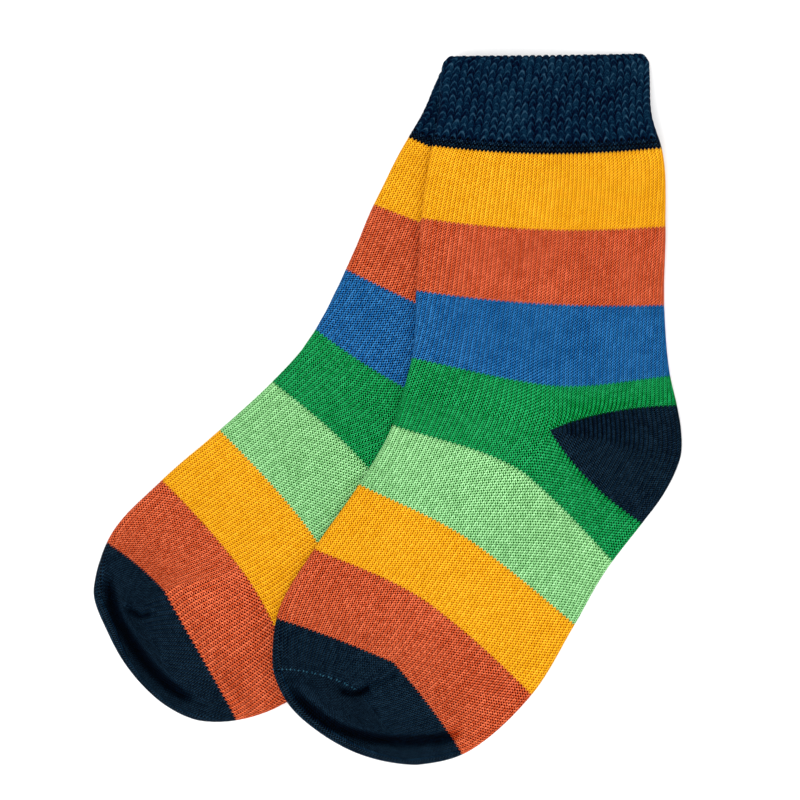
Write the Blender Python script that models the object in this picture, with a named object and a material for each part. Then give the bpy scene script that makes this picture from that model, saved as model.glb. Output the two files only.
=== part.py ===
"""A pair of children's striped ankle socks, laid flat on a surface.

Each sock is one knitted tube: a ribbed cuff, a striped leg, a heel pocket, a striped foot and a toe
pocket that is closed by a seam over the toes. The tube lies flattened, so that it has a lower layer
on the surface, an upper layer on it, and a rounded fold along its front edge and along its back edge.
The back sock lies on the surface, and the front sock lies partly on it.

Courses are the knitted rows, counted from the cuff's top. Lengths in the tables are millimetres, with
+X to the right, +Y towards the cuffs and +Z up.
"""

import math
from collections import namedtuple

import bpy
import numpy as np

MM = 0.001

# Driving sizes, in millimetres
WALL = 1.3  # one layer of plain knitting
CUFF_WALL = 1.7  # one layer of the ribbed cuff
LAYER_GAP = 0.4  # between the two layers of a flat sock, inside its folds
LOFT = 0.4  # how far the upper layer stands up between its folds
PIECE_GAP = 0.3  # between neighbouring pieces, and between sock and sock
TOE_HALF = 2.5  # half the height of the toe pocket's rolled rim
TOE_LOFT = 2.4  # how much further the toe pocket's body stands up
REST_MARGIN = 5.0  # how far past the back sock's edge the front sock still lies level
REST_RAMP = 16.0  # over which it then comes down to the surface
HEM_FALL = (-9.0, -1.0)  # from the cuff's hem, over which a sock thins from cuff to leg
RIM_WIDTHS = (5.0, 11.0)  # from the toe's edge, between which its body rises
BODY_START = (-14.0, 4.0)  # along the foot from course 216's side line, over which the body rises
GROOVE_DEPTH = 0.9  # of the groove inside the toe's rim
GROOVE_WIDTH = 1.6
GROOVE_FROM_EDGE = 5.4  # at the toe's back fold
GROOVE_DRIFT = 1.6  # how much nearer the edge it is at the front fold
GROOVE_ENDS = (0.12, 0.85)  # along the rim, where the groove is full
RIM_START = -0.15  # of a turn, where the rim begins, before the pocket does
HEEL_TIP = 2.5  # from a heel's corner on the side line to its first stitch
HEEL_GAP_SHARE = 1.5  # a heel's gap at its corners, in the gap at its edge

PAIR_CENTRE = (0.1, -0.25, 0.0)  # the middle of the pair's base, in the tables' places

# How finely the solids are cut
HALF_LAYER_STEPS = 4  # across half a layer, from its side line to a fold
FOLD_STEPS = 4  # round a fold
BAND_STEPS = 3  # along a band of one yarn
POCKET_STEPS = 6  # round a heel pocket
TOE_STEPS = 9  # round a toe pocket
OUTLINE_STEPS = 24  # along each stretch of an outline that is only measured from

# A yarn change ends each band. Courses are counted from the cuff's top.
CUFF_CORNER = 3
CUFF_END = 34
HEEL = 122
TOE = 216
SEAM = 235
HEM_COURSES = 4  # over which the wall thins below the cuff
RIM_COURSES = 6  # before the toe, over which its rim starts to thicken
BODY_COURSES = 12  # before the toe, over which its body starts to swell

# One row for each station of a sock that lies flat: the course there, the front fold, the side line
# (halfway round from fold to fold) and the back fold. The heel has two rows, because its pocket fills
# the back half between them.
Station = namedtuple("Station", "course front side back")
Pocket = namedtuple("Pocket", "gore outline")  # where its gore line ends, and the rest of its edge
Headings = namedtuple("Headings", "front_out side_in side_out back_in")  # degrees from +X
Sock = namedtuple("Sock", "name leg foot heel toe turns")

FRONT = Sock(
    name="front",
    leg=[
        Station(0, (18.2, 105.2), (47.5, 105.5), (76.8, 106.2)),
        Station(3, (16.6, 103.0), (47.3, 103.1), (78.3, 103.8)),
        Station(6, (16.1, 100.5), (47.1, 100.5), (78.5, 101.2)),
        Station(24, (15.0, 86.5), (46.6, 85.2), (79.2, 86.8)),
        Station(34, (13.2, 78.5), (47.0, 76.0), (82.0, 77.8)),
        Station(60, (10.0, 57.0), (46.5, 53.5), (83.2, 54.5)),
        Station(86, (8.5, 35.3), (46.0, 31.3), (82.9, 31.0)),
        Station(110, (7.2, 15.2), (46.0, 7.2), (84.7, 9.8)),
        Station(122, (4.5, 4.5), (48.5, -6.5), (86.7, 1.0)),
    ],
    foot=[
        Station(122, (4.5, 4.5), (48.5, -6.5), (76.2, -34.5)),
        Station(134, (1.5, -5.0), (40.7, -19.2), (67.4, -45.8)),
        Station(159, (-8.5, -22.7), (27.0, -41.0), (56.1, -64.8)),
        Station(186, (-21.9, -42.0), (14.5, -59.8), (43.2, -85.8)),
        Station(216, (-33.1, -62.6), (1.8, -75.8), (22.5, -103.7)),
        Station(235, (-34.2, -78.0), (-9.0, -84.0), (9.0, -106.7)),
    ],
    heel=Pocket(gore=(87.9, -14.0), outline=[(88.0, -7.0), (87.9, -14.0), (86.0, -19.5), (82.5, -26.0)]),
    toe=Pocket(
        gore=(-13.0, -100.5),
        outline=[(1.0, -106.0), (-9.7, -103.0), (-21.2, -96.3), (-30.2, -87.5)],
    ),
    turns={
        ("leg", 110): Headings(-12, -8, -8, 6),
        ("leg", 122): Headings(-14, -14, 24, 2),
        ("foot", 122): Headings(-14, -14, -60, -34),
        ("foot", 134): Headings(-19, -33, -40, -48),
        ("foot", 159): Headings(-26, -36, -36, -41),
        ("foot", 186): Headings(-23, -38, -38, -46),
        ("foot", 216): Headings(-17, -24, -49, -60),
        ("foot", 235): Headings(5, -32, -52, -50),
    },
)

BACK = Sock(
    name="back",
    leg=[
        Station(0, (18.5, 102.2), (46.0, 93.5), (73.0, 86.0)),
        Station(3, (16.0, 100.8), (45.2, 91.4), (74.2, 83.2)),
        Station(6, (15.0, 98.8), (44.6, 89.3), (73.8, 81.1)),
        Station(24, (9.9, 87.3), (39.0, 77.0), (70.0, 68.5)),
        Station(34, (6.2, 81.3), (37.4, 69.0), (71.0, 60.0)),
        Station(60, (-4.1, 61.2), (29.5, 49.0), (64.5, 39.0)),
        Station(86, (-12.5, 41.7), (21.5, 26.2), (56.0, 14.2)),
        Station(110, (-21.6, 23.8), (11.5, 3.0), (47.5, -10.0)),
        Station(122, (-27.0, 16.0), (8.5, -11.0), (46.0, -18.5)),
    ],
    foot=[
        Station(122, (-27.0, 16.0), (8.5, -11.0), (22.5, -46.5)),
        Station(134, (-34.5, 8.0), (-5.5, -18.2), (9.0, -53.0)),
        Station(159, (-50.3, -6.5), (-25.3, -34.0), (-7.0, -67.0)),
        Station(186, (-67.6, -21.5), (-43.7, -48.3), (-25.5, -85.0)),
        Station(216, (-84.0, -40.0), (-66.8, -54.4), (-45.2, -93.4)),
        Station(235, (-88.0, -55.5), (-74.5, -61.0), (-57.0, -93.3)),
    ],
    heel=Pocket(gore=(41.5, -33.0), outline=[(44.0, -26.5), (41.5, -33.0), (38.0, -36.8), (31.5, -41.5)]),
    toe=Pocket(
        gore=(-76.0, -80.0),
        outline=[(-66.3, -89.0), (-73.7, -82.5), (-78.9, -76.0), (-83.8, -67.0)],
    ),
    turns={
        ("leg", 122): Headings(-37, -37, 1, -21),
        ("foot", 122): Headings(-37, -37, -83, -57),
        ("foot", 134): Headings(-38, -50, -52, -78),
        ("foot", 159): Headings(-45, -52, -52, -66),
        ("foot", 186): Headings(-44, -53, -53, -68),
        ("foot", 216): Headings(-32, -48, -62, -64),
        ("foot", 235): Headings(-8, -30, -60, -58),
    },
)

# Each band of plain knitting: its name, its yarn, and its first and last course
Band = namedtuple("Band", "name yarn first last")
LEG_BANDS = [
    Band("leg_yellow", "yellow", 34, 60),
    Band("leg_rust", "rust", 60, 86),
    Band("leg_blue", "blue", 86, 110),
]
ANKLE = Band("ankle_green", "green", 110, 134)
FOOT_BANDS = [
    Band("foot_mint", "mint", 134, 159),
    Band("foot_yellow", "yellow", 159, 186),
    Band("foot_rust", "rust", 186, 216),
]

# Yarn colours (linear) and how rough their knitting is
Yarn = namedtuple("Yarn", "red green blue roughness")
YARNS = {
    "navy": Yarn(0.004, 0.016, 0.037, 0.9),
    "yellow": Yarn(0.89, 0.40, 0.01, 0.85),
    "rust": Yarn(0.56, 0.09, 0.03, 0.85),
    "blue": Yarn(0.012, 0.11, 0.33, 0.85),
    "green": Yarn(0.004, 0.25, 0.06, 0.85),
    "mint": Yarn(0.25, 0.61, 0.22, 0.85),
}


# ---- curves ----


def smooth(low, high, at):
    """0 below low, 1 above high, and an S curve between them."""
    s = np.clip((np.asarray(at, float) - low) / (high - low), 0, 1)
    return s * s * (3 - 2 * s)


def through(knots, rows, at):
    """A smooth curve through rows, one at each knot: cubic pieces whose slope at a knot follows its
    two neighbours."""
    knots = np.asarray(knots, float)
    rows = np.asarray(rows, float)
    step = np.diff(knots)[:, None]
    secant = np.diff(rows, axis=0) / step
    slope = np.empty_like(rows)
    slope[0] = secant[0]
    slope[-1] = secant[-1]
    slope[1:-1] = (secant[:-1] * step[1:] + secant[1:] * step[:-1]) / (step[1:] + step[:-1])
    at = np.asarray(at, float)
    i = np.clip(np.searchsorted(knots, at, side="right") - 1, 0, len(knots) - 2)
    width = step[i]
    s = ((at - knots[i]) / (knots[i + 1] - knots[i]))[..., None]
    return hermite(rows[i], slope[i] * width, rows[i + 1], slope[i + 1] * width, s)


def hermite(start, leave, end, arrive, s):
    """The cubic from start, leaving along leave, to end, arriving along arrive, at s from 0 to 1."""
    s2 = s * s
    s3 = s2 * s
    return (
        start * (2 * s3 - 3 * s2 + 1)
        + leave * (s3 - 2 * s2 + s)
        + end * (3 * s2 - 2 * s3)
        + arrive * (s3 - s2)
    )


def heading(degrees, length):
    return np.array([math.cos(math.radians(degrees)), math.sin(math.radians(degrees))]) * length


def course_ends(sock, part, station):
    """The four slopes of a station's course: out of the front fold, into and out of the side line, and
    into the back fold. They are those of the parabola through its three points, unless the sock's
    table of turns says otherwise, as where a pocket begins."""
    front, side, back = (np.array(p) for p in (station.front, station.side, station.back))
    turns = sock.turns.get((part, station.course))
    if turns is None:
        middle = (back - front) / 2
        return (4 * side - 3 * front - back) / 2, middle, middle, (front - 4 * side + 3 * back) / 2
    ahead = np.linalg.norm(side - front)
    behind = np.linalg.norm(back - side)
    return (
        heading(turns.front_out, ahead),
        heading(turns.side_in, ahead),
        heading(turns.side_out, behind),
        heading(turns.back_in, behind),
    )


def course_line(sock, part, course, u):
    """The place on a course of the leg or foot, u from 0 at the front fold over 0.5 at the side line to
    1 at the back fold. Two cubics join three guide curves: front fold, side line and back fold."""
    course, u = np.broadcast_arrays(np.asarray(course, float), np.asarray(u, float))
    whole = sock.leg + sock.foot[1:]
    stations = getattr(sock, part)
    knots = [s.course for s in stations]
    every = [s.course for s in whole]
    past_toe = SEAM + (SEAM - TOE)
    front = through([*every, past_toe], [*(s.front for s in whole), sock.toe.outline[-1]], course)
    side = through(every, [s.side for s in whole], course)
    if part == "leg":
        backs = [*(s.back for s in stations), sock.heel.outline[0]]
        back = through([*knots, 2 * HEEL - knots[-2]], backs, course)
    else:
        backs = [sock.heel.outline[-1], *(s.back for s in stations), sock.toe.outline[0]]
        back = through([2 * HEEL - knots[1], *knots, past_toe], backs, course)
    ends = np.array([course_ends(sock, part, s) for s in stations])
    front_out, side_in, side_out, back_in = (through(knots, ends[:, i], course) for i in range(4))
    ahead = hermite(front, front_out, side, side_in, (2 * u)[..., None])
    behind = hermite(side, side_out, back, back_in, (2 * u - 1)[..., None])
    return np.where(u[..., None] < 0.5, ahead, behind)


def half_widths(sock, part, course):
    """The lengths from the side line to the front fold and to the back fold, at a course."""
    front, side, back = (course_line(sock, part, course, u) for u in (0.0, 0.5, 1.0))
    return np.linalg.norm(side - front, axis=-1), np.linalg.norm(back - side, axis=-1)


def pocket_edge(sock, which, turn):
    """The outer edge of a pocket, turn from 0 to 1 round it."""
    if which == "heel":
        before, first = sock.leg[-2].back, sock.leg[-1].back
        last, after = sock.foot[0].back, sock.foot[1].back
        pocket = sock.heel
    else:
        before, first = sock.foot[-2].back, sock.foot[-1].back
        last, after = sock.foot[-1].front, sock.foot[-2].front
        pocket = sock.toe
    points = np.array([before, first, *pocket.outline, last, after])
    length = np.concatenate([[0], np.cumsum(np.linalg.norm(np.diff(points, axis=0), axis=1))])
    span = length[-2] - length[1]
    return through((length - length[1]) / span, points, turn)


def pocket_place(sock, which, reach, turn):
    """The place in a pocket: reach from 0 at its corner on the side line to 1 at its edge, turn from 0
    to 1 round it. Wales keep their reach. Near the corner they run straight to the gore line and bend
    there, and near the edge they are round as it is."""
    reach, turn = np.broadcast_arrays(np.asarray(reach, float), np.asarray(turn, float))
    if which == "heel":
        first = course_line(sock, "leg", HEEL, 0.5 + reach / 2)
        last = course_line(sock, "foot", HEEL, 0.5 + reach / 2)
        corner = np.array(sock.foot[0].side)
        gore = np.array(sock.heel.gore)
    else:
        first = course_line(sock, "foot", SEAM, 0.5 + reach / 2)
        last = course_line(sock, "foot", SEAM, 0.5 - reach / 2)
        corner = np.array(sock.foot[-1].side)
        gore = np.array(sock.toe.gore)
    start = pocket_edge(sock, which, 0.0)
    end = pocket_edge(sock, which, 1.0)
    r = reach[..., None]
    t = turn[..., None]
    bent = np.where(t < 0.5, start + (gore - start) * 2 * t, gore + (end - gore) * (2 * t - 1))
    rounded = smooth(0.25, 1.0, r)
    fan = corner + r * (bent + (pocket_edge(sock, which, turn) - bent) * rounded - corner)
    at_start = first - (corner + r * (start - corner))
    at_end = last - (corner + r * (end - corner))
    return fan + (1 - t) ** 2 * at_start + t**2 * at_end


# ---- heights ----


def half_height(course):
    """Half the height of a fold: the ribbed cuff's, the leg's and foot's, and the toe pocket's."""
    cuff = CUFF_WALL + LAYER_GAP / 2
    plain = WALL + LAYER_GAP / 2
    hem = smooth(CUFF_END, CUFF_END + HEM_COURSES, course)
    rim = smooth(TOE - RIM_COURSES, SEAM, course)
    return cuff + (plain - cuff) * hem + (TOE_HALF - plain) * rim


def wall_at(course):
    return CUFF_WALL + (WALL - CUFF_WALL) * smooth(CUFF_END, CUFF_END + HEM_COURSES, course)


def outline(sock):
    """The sock's whole outline as a closed loop of points, from the front of its cuff to its toe, and
    back up its sole, heel and leg."""
    down_leg = np.linspace(0, HEEL, OUTLINE_STEPS)
    down_foot = np.linspace(HEEL, SEAM, OUTLINE_STEPS)
    turn = np.linspace(0, 1, OUTLINE_STEPS)
    return np.concatenate(
        [
            course_line(sock, "leg", down_leg, 0.0),
            course_line(sock, "foot", down_foot, 0.0),
            pocket_edge(sock, "toe", turn[::-1]),
            course_line(sock, "foot", down_foot[::-1], 1.0),
            pocket_edge(sock, "heel", turn[::-1]),
            course_line(sock, "leg", down_leg[::-1], 1.0),
        ]
    )


def distance_to(line, places, closed=False):
    """How far each place is from a line of points, and where along it, from 0 to 1, the nearest is."""
    start = line if closed else line[:-1]
    end = np.roll(line, -1, axis=0) if closed else line[1:]
    run = end - start
    square = np.maximum((run * run).sum(1), 1e-12)
    away = places[..., None, :] - start
    s = np.clip((away * run).sum(-1) / square, 0, 1)
    gap = np.linalg.norm(away - s[..., None] * run, axis=-1)
    nearest = gap.argmin(-1)
    part = np.take_along_axis(s, nearest[..., None], -1)[..., 0]
    return gap.min(-1), (nearest + part) / len(start)


def inside(loop, places):
    """Whether each place is inside a closed loop of points, by how often a line to +X crosses it."""
    x, y = places[..., 0, None], places[..., 1, None]
    ax, ay = loop[:, 0], loop[:, 1]
    bx, by = np.roll(ax, -1), np.roll(ay, -1)
    rise = np.where(by == ay, 1e-12, by - ay)
    crosses = ((ay > y) != (by > y)) & (x < ax + (bx - ax) * (y - ay) / rise)
    return crosses.sum(-1) % 2 == 1


BACK_OUTLINE = outline(BACK)


def resting_height(sock, places):
    """What a sock lies on: the surface for the back sock. The front sock lies on the back sock, which is
    thicker at its cuff, and comes down to the surface past its edge."""
    if sock is BACK:
        return np.zeros(places.shape[:-1])
    knee, hem = np.array(BACK.leg[-2].side), np.array(BACK.leg[4].side)
    up_leg = (hem - knee) / np.linalg.norm(hem - knee)
    plain = 2 * half_height(HEEL) + LOFT + PIECE_GAP
    cuff = 2 * half_height(0) + LOFT + PIECE_GAP
    height = plain + (cuff - plain) * smooth(*HEM_FALL, (places - hem) @ up_leg)
    gap, _ = distance_to(BACK_OUTLINE, places, closed=True)
    gap = np.where(inside(BACK_OUTLINE, places), 0, gap)
    return height * (1 - smooth(REST_MARGIN, REST_MARGIN + REST_RAMP, gap))


def toe_relief(sock, places):
    """How much the toe pocket's upper layer stands above a plain fold: its body swells, and a groove
    runs inside its rolled rim."""
    rim = pocket_edge(sock, "toe", np.linspace(RIM_START, 1, 3 * OUTLINE_STEPS))
    gap, along = distance_to(rim, places)
    body = TOE_LOFT * smooth(*RIM_WIDTHS, gap)
    start = np.array(sock.foot[-2].side)
    corner = np.array(sock.foot[-1].side)
    down_foot = (corner - start) / np.linalg.norm(corner - start)
    reach = smooth(*BODY_START, (places - start) @ down_foot)
    full_from, full_to = GROOVE_ENDS
    ends = smooth(0.0, full_from, along) * (1 - smooth(full_to, 1.0, along))
    centre = GROOVE_FROM_EDGE - GROOVE_DRIFT * along
    groove = GROOVE_DEPTH * np.exp(-(((gap - centre) / GROOVE_WIDTH) ** 2)) * ends
    return body * reach - groove


# ---- rings ----

# A column of a ring: q from 0 at the front fold to 1 at the back fold, and the angle round that fold,
# -90 degrees on the lower layer and 90 degrees on the upper one
LAYER_PLACES = np.linspace(0, 1, 2 * HALF_LAYER_STEPS + 1)
FOLD_ANGLES = np.linspace(-90, 90, FOLD_STEPS + 1)


def whole_ring():
    """The columns all the way round: up the front fold, over the upper layer, down the back fold."""
    columns = [(0.0, a) for a in FOLD_ANGLES[:-1]]
    columns += [(q, 90.0) for q in LAYER_PLACES[:-1]]
    columns += [(1.0, -a) for a in FOLD_ANGLES[:-1]]
    columns += [(q, -90.0) for q in LAYER_PLACES[::-1][:-1]]
    return columns


def half_ring():
    """The columns of a pocket: out over the upper layer, down its fold and back along the lower one."""
    back = LAYER_PLACES[LAYER_PLACES >= 0.5]
    columns = [(q, 90.0) for q in back[:-1]]
    columns += [(1.0, -a) for a in FOLD_ANGLES[:-1]]
    columns += [(q, -90.0) for q in back[::-1]]
    return columns


def laid(sock, places, course, q, angle, radius):
    """One side of the wall over places in the plane: radius is how far it is from the fold's centre."""
    up = np.sin(np.radians(angle))
    height = resting_height(sock, places) + half_height(course) + up * radius
    upper = angle > 0
    at_toe = smooth(TOE - BODY_COURSES, TOE, course)
    spring = LOFT * np.sqrt(np.sin(np.pi * q)) + toe_relief(sock, places) * at_toe
    height = height + np.where(upper, spring * up, 0)
    return np.concatenate([places, height[..., None]], axis=-1)


def ring_points(sock, part, courses, columns):
    """The outer and inner points of rings at these courses. Each is a flat ring with round folds: away
    from a fold its layers are level, and at a fold both sides of the wall turn round one centre."""
    course = np.asarray(courses, float)[:, None]
    q, angle = np.array(columns).T[:, None, :]
    ahead, behind = half_widths(sock, part, course)
    rounded = half_height(course)
    sides = []
    for depth in (0.0, wall_at(course)):
        radius = rounded - depth
        out = np.cos(np.radians(angle)) * radius
        to_back = ((2 * q - 1) * (behind - rounded) + out) / behind
        to_front = ((1 - 2 * q) * (ahead - rounded) + out) / ahead
        u = 0.5 + np.where(q > 0.5, to_back, -to_front) / 2
        places = course_line(sock, part, course + 0 * q, u)
        sides.append(laid(sock, places, course, q, angle, radius))
    return sides


def pocket_points(sock, which, turns, columns, first_column=0.0):
    """The outer and inner points of a pocket's rows, one at each turn round its corner."""
    turn = np.asarray(turns, float)[:, None]
    q, angle = np.array(columns).T[:, None, :]
    course = float(HEEL if which == "heel" else SEAM)
    corner = np.array(sock.foot[0].side if which == "heel" else sock.foot[-1].side)
    width = np.linalg.norm(pocket_edge(sock, which, turn) - corner, axis=-1)
    rounded = half_height(course)
    sides = []
    for depth in (0.0, wall_at(course)):
        radius = rounded - depth
        out = np.cos(np.radians(angle)) * radius
        reach = ((2 * q - 1) * (width - rounded) + out) / width
        reach = first_column + (1 - first_column) * reach
        places = pocket_place(sock, which, reach, turn + 0 * q)
        sides.append(laid(sock, places, course, q, angle, radius))
    return sides


# ---- solids ----


def weld(points):
    """Numbers each point so that points in one place, within a micrometre, share a number."""
    keys = np.round(points / 1e-3).astype(np.int64)
    _, first, number = np.unique(keys, axis=0, return_index=True, return_inverse=True)
    return first, number.ravel()


def grid_faces(rows, columns, start, closed, present=None):
    """The four-sided faces of a grid of points, those that present allows."""
    faces = []
    for r in range(rows - 1):
        for c in range(columns if closed else columns - 1):
            if present is None or present(r, c):
                d = (c + 1) % columns
                faces.append((r * columns + c, (r + 1) * columns + c, (r + 1) * columns + d, r * columns + d))
    return [tuple(start + v for v in f) for f in faces]


def add_solid(name, yarn, grids):
    """Makes one closed solid from grids of outer and inner points: both sides of its wall, and a strip
    that joins them along every free edge. Each grid is (outer, inner, closed, present)."""
    outer, inner, faces = [], [], []
    count = 0
    for out, inn, closed, present in grids:
        rows, columns = out.shape[:2]
        faces += grid_faces(rows, columns, count, closed, present)
        outer.append(out.reshape(-1, 3))
        inner.append(inn.reshape(-1, 3))
        count += rows * columns
    outer = np.concatenate(outer)
    inner = np.concatenate(inner)
    first, number = weld(outer)
    outer, inner = outer[first], inner[first]
    sheet = []
    for f in faces:
        corners = []
        for v in f:
            if not corners or number[v] != corners[-1]:
                corners.append(int(number[v]))
        if corners[0] == corners[-1]:
            corners.pop()
        if len(corners) > 2:
            sheet.append(tuple(corners))
    edges = {(a, b) for f in sheet for a, b in zip(f, f[1:] + f[:1])}
    free = [(a, b) for a, b in edges if (b, a) not in edges]
    n = len(outer)
    solid = list(sheet)
    solid += [tuple(v + n for v in reversed(f)) for f in sheet]
    solid += [(b, a, a + n, b + n) for a, b in sorted(free)]
    mesh = bpy.data.meshes.new(name)
    points = np.concatenate([outer, inner]) - PAIR_CENTRE
    mesh.from_pydata((points * MM).tolist(), [], solid)
    mesh.validate()
    obj = bpy.data.objects.new(name, mesh)
    bpy.context.scene.collection.objects.link(obj)
    mesh.materials.append(yarn_material(yarn))
    mesh.shade_smooth()
    mesh.set_sharp_from_angle(angle=math.radians(40))
    return obj


def yarn_material(yarn):
    """The knitted cotton of one yarn."""
    name = f"{yarn}_cotton"
    if name in bpy.data.materials:
        return bpy.data.materials[name]
    material = bpy.data.materials.new(name)
    material.use_nodes = True
    shader = material.node_tree.nodes["Principled BSDF"]
    dye = YARNS[yarn]
    shader.inputs["Base Color"].default_value = (dye.red, dye.green, dye.blue, 1)
    shader.inputs["Roughness"].default_value = dye.roughness
    shader.inputs["Metallic"].default_value = 0
    shader.inputs["Sheen Weight"].default_value = 0.3
    return material


def between(first, last, steps, sock, part):
    """Courses from first to last, held back at each end by half the gap between pieces."""
    span = half_gap_in_courses(sock, part, first), half_gap_in_courses(sock, part, last)
    return np.linspace(first + span[0], last - span[1], steps + 1)


def half_gap_in_courses(sock, part, course):
    """Half the gap between pieces, in courses, at the fold where courses lie closest together."""
    step = 1.0
    pitch = min(
        np.linalg.norm(course_line(sock, part, course + step, u) - course_line(sock, part, course - step, u)) / 2
        for u in (0.0, 0.5, 1.0)
    )
    return PIECE_GAP / 2 / pitch


def make_band(sock, part, band):
    courses = between(band.first, band.last, BAND_STEPS, sock, part)
    outer, inner = ring_points(sock, part, courses, whole_ring())
    add_solid(f"{sock.name}_{band.name}", band.yarn, [(outer, inner, True, None)])


def make_cuff(sock):
    """The ribbed cuff, whose top corners are rounded."""
    below = between(0, CUFF_END, BAND_STEPS, sock, "leg")[1:]
    courses = [0, CUFF_CORNER, *below]
    outer, inner = ring_points(sock, "leg", courses, whole_ring())
    add_solid(f"{sock.name}_cuff", "navy", [(outer, inner, True, None)])


def make_ankle(sock):
    """The green band, whose back half is split by the heel pocket."""
    columns = whole_ring()
    leg = between(ANKLE.first, HEEL, 2, sock, "leg")
    foot = between(HEEL, ANKLE.last, 2, sock, "foot")
    on_leg = ring_points(sock, "leg", leg, columns)
    on_foot = ring_points(sock, "foot", foot, columns)
    outer, inner = (np.concatenate([a, b]) for a, b in zip(on_leg, on_foot))
    places = [q for q, _ in columns]

    def knitted(row, column):
        following = places[(column + 1) % len(places)]
        return row != len(leg) - 1 or max(places[column], following) <= 0.5

    add_solid(f"{sock.name}_ankle_green", "green", [(outer, inner, True, knitted)])


def make_heel(sock):
    """The heel pocket, set in the ankle's split with a gap all round."""
    corner = np.array(sock.foot[0].side)
    width = np.linalg.norm(np.array(sock.leg[-1].back) - corner)
    edge = half_gap_in_turns(sock)
    turns = np.linspace(edge, 1 - edge, POCKET_STEPS + 1)
    outer, inner = pocket_points(sock, "heel", turns, half_ring(), first_column=HEEL_TIP / width)
    add_solid(f"{sock.name}_heel", "navy", [(outer, inner, False, None)])


def half_gap_in_turns(sock):
    length = np.linalg.norm(np.diff(pocket_edge(sock, "heel", np.linspace(0, 1, OUTLINE_STEPS)), axis=0), axis=1)
    return HEEL_GAP_SHARE * PIECE_GAP / 2 / length.sum()


def make_toe(sock):
    """The toe pocket: a few whole courses, then a pocket that turns round and meets them at the seam."""
    courses = between(TOE, SEAM, 2, sock, "foot")
    courses[-1] = SEAM
    ring = ring_points(sock, "foot", courses, whole_ring())
    turns = np.linspace(0, 1, TOE_STEPS + 1)
    pocket = pocket_points(sock, "toe", turns, half_ring())
    add_solid(f"{sock.name}_toe", "navy", [(*ring, True, None), (*pocket, False, None)])


def main():
    for obj in list(bpy.data.objects):
        bpy.data.objects.remove(obj)
    for sock in (BACK, FRONT):
        make_cuff(sock)
        for band in LEG_BANDS:
            make_band(sock, "leg", band)
        make_ankle(sock)
        make_heel(sock)
        for band in FOOT_BANDS:
            make_band(sock, "foot", band)
        make_toe(sock)


main()
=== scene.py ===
"""A pair of striped ankle socks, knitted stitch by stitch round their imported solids.

Each sock is one knitted tube that lies flat: a mock-rib cuff, a striped leg, a heel pocket, a striped foot
and a toe pocket, closed by a linked seam. A place on the knitting is given by its needle, counted round the
tube from the front fold, and by its course, counted down from the cuff's top. Lengths are millimetres in the
tables and functions, and metres in the properties and meshes. +X is to the right, +Y towards the cuffs.
"""

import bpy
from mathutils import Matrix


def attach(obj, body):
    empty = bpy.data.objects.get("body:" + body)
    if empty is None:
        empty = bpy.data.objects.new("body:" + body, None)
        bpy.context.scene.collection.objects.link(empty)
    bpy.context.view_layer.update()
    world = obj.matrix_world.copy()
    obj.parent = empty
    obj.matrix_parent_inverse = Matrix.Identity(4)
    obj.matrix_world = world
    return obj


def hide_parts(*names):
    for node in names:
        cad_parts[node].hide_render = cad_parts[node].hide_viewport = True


bl_info = {
    "name": "Striped ankle socks",
    "version": (1, 0, 0),
    "blender": (4, 5, 0),
    "location": "View3D > Sidebar > Socks",
    "description": "Knits a pair of striped ankle socks that lie flat, with their stage",
    "category": "Object",
}

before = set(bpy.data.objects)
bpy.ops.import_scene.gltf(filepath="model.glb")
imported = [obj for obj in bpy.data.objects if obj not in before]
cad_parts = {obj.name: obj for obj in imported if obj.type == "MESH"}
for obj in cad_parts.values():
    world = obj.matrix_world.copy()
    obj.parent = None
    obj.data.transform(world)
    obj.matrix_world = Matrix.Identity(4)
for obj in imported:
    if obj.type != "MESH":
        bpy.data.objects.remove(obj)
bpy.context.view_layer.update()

import math
from collections import namedtuple

import bpy
import numpy as np
from bpy.props import FloatProperty, FloatVectorProperty, PointerProperty

MM = 0.001

# ---- the tubes' sizes, as their solids have them, in millimetres ----

WALL = 1.3  # one layer of plain knitting
CUFF_WALL = 1.7  # one layer of the ribbed cuff
LAYER_GAP = 0.4  # between the two layers of a flat sock, inside its folds
LOFT = 0.4  # how far the upper layer stands up between its folds
PIECE_GAP = 0.3  # between sock and sock
TOE_HALF = 2.8  # half the height of the toe pocket's rolled rim
TOE_SWELL = 2.8  # how much further the toe pocket's body stands up
REST_MARGIN = 5.0  # how far past the back sock's edge the front sock still lies level
REST_RAMP = 16.0  # over which it then comes down to the surface
PAIR_CENTRE = (0.1, -0.25, 0.0)  # the middle of the pair's base, in the tables' places

# Stitches. Needles are counted round the tube, and half of them knit each layer.
NEEDLES = 120
FACE = NEEDLES // 2
SIDE = FACE // 2  # the side line, halfway across the upper layer
FOLD_NEEDLES = 2.0  # how many needles knit a quarter turn of a fold
UPPER_STEP = 0.125  # of a needle, between columns of points on the upper layer
LOWER_STEP = 0.5
LIP = 1.0  # courses that the cuff's rolled top edge takes
LIP_TURNS = (180, 150, 120, 90, 60, 30)  # degrees round that edge, from inside to outside
INNER_EVERY = 8  # rows of the outer surface to one of the inner surface
CUFF_STITCHES = 26.0
SHORT_ROWS = 19  # the narrowing rows of a pocket, from a full row to its gore's end
POCKET_ROWS = {"heel": 52, "toe": 62}  # rows of stitches over a pocket's edge

CUFF_END = 34
HEEL = 122
TOE = 216
SEAM = 235
COURSES = (0, 34, 60, 86, 110, 122, 134, 159, 186, 216, 235)  # of the patches' grid
STITCHES = (0, 26, 53, 80, 107, 120, 135, 162, 190, 218, 234)  # rows of stitches down to each of them
LEG_COURSES = np.concatenate([np.arange(LIP, CUFF_END, 0.5), np.arange(CUFF_END, HEEL + 1)])
FOOT_COURSES = np.arange(HEEL, SEAM + 1.0)

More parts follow.
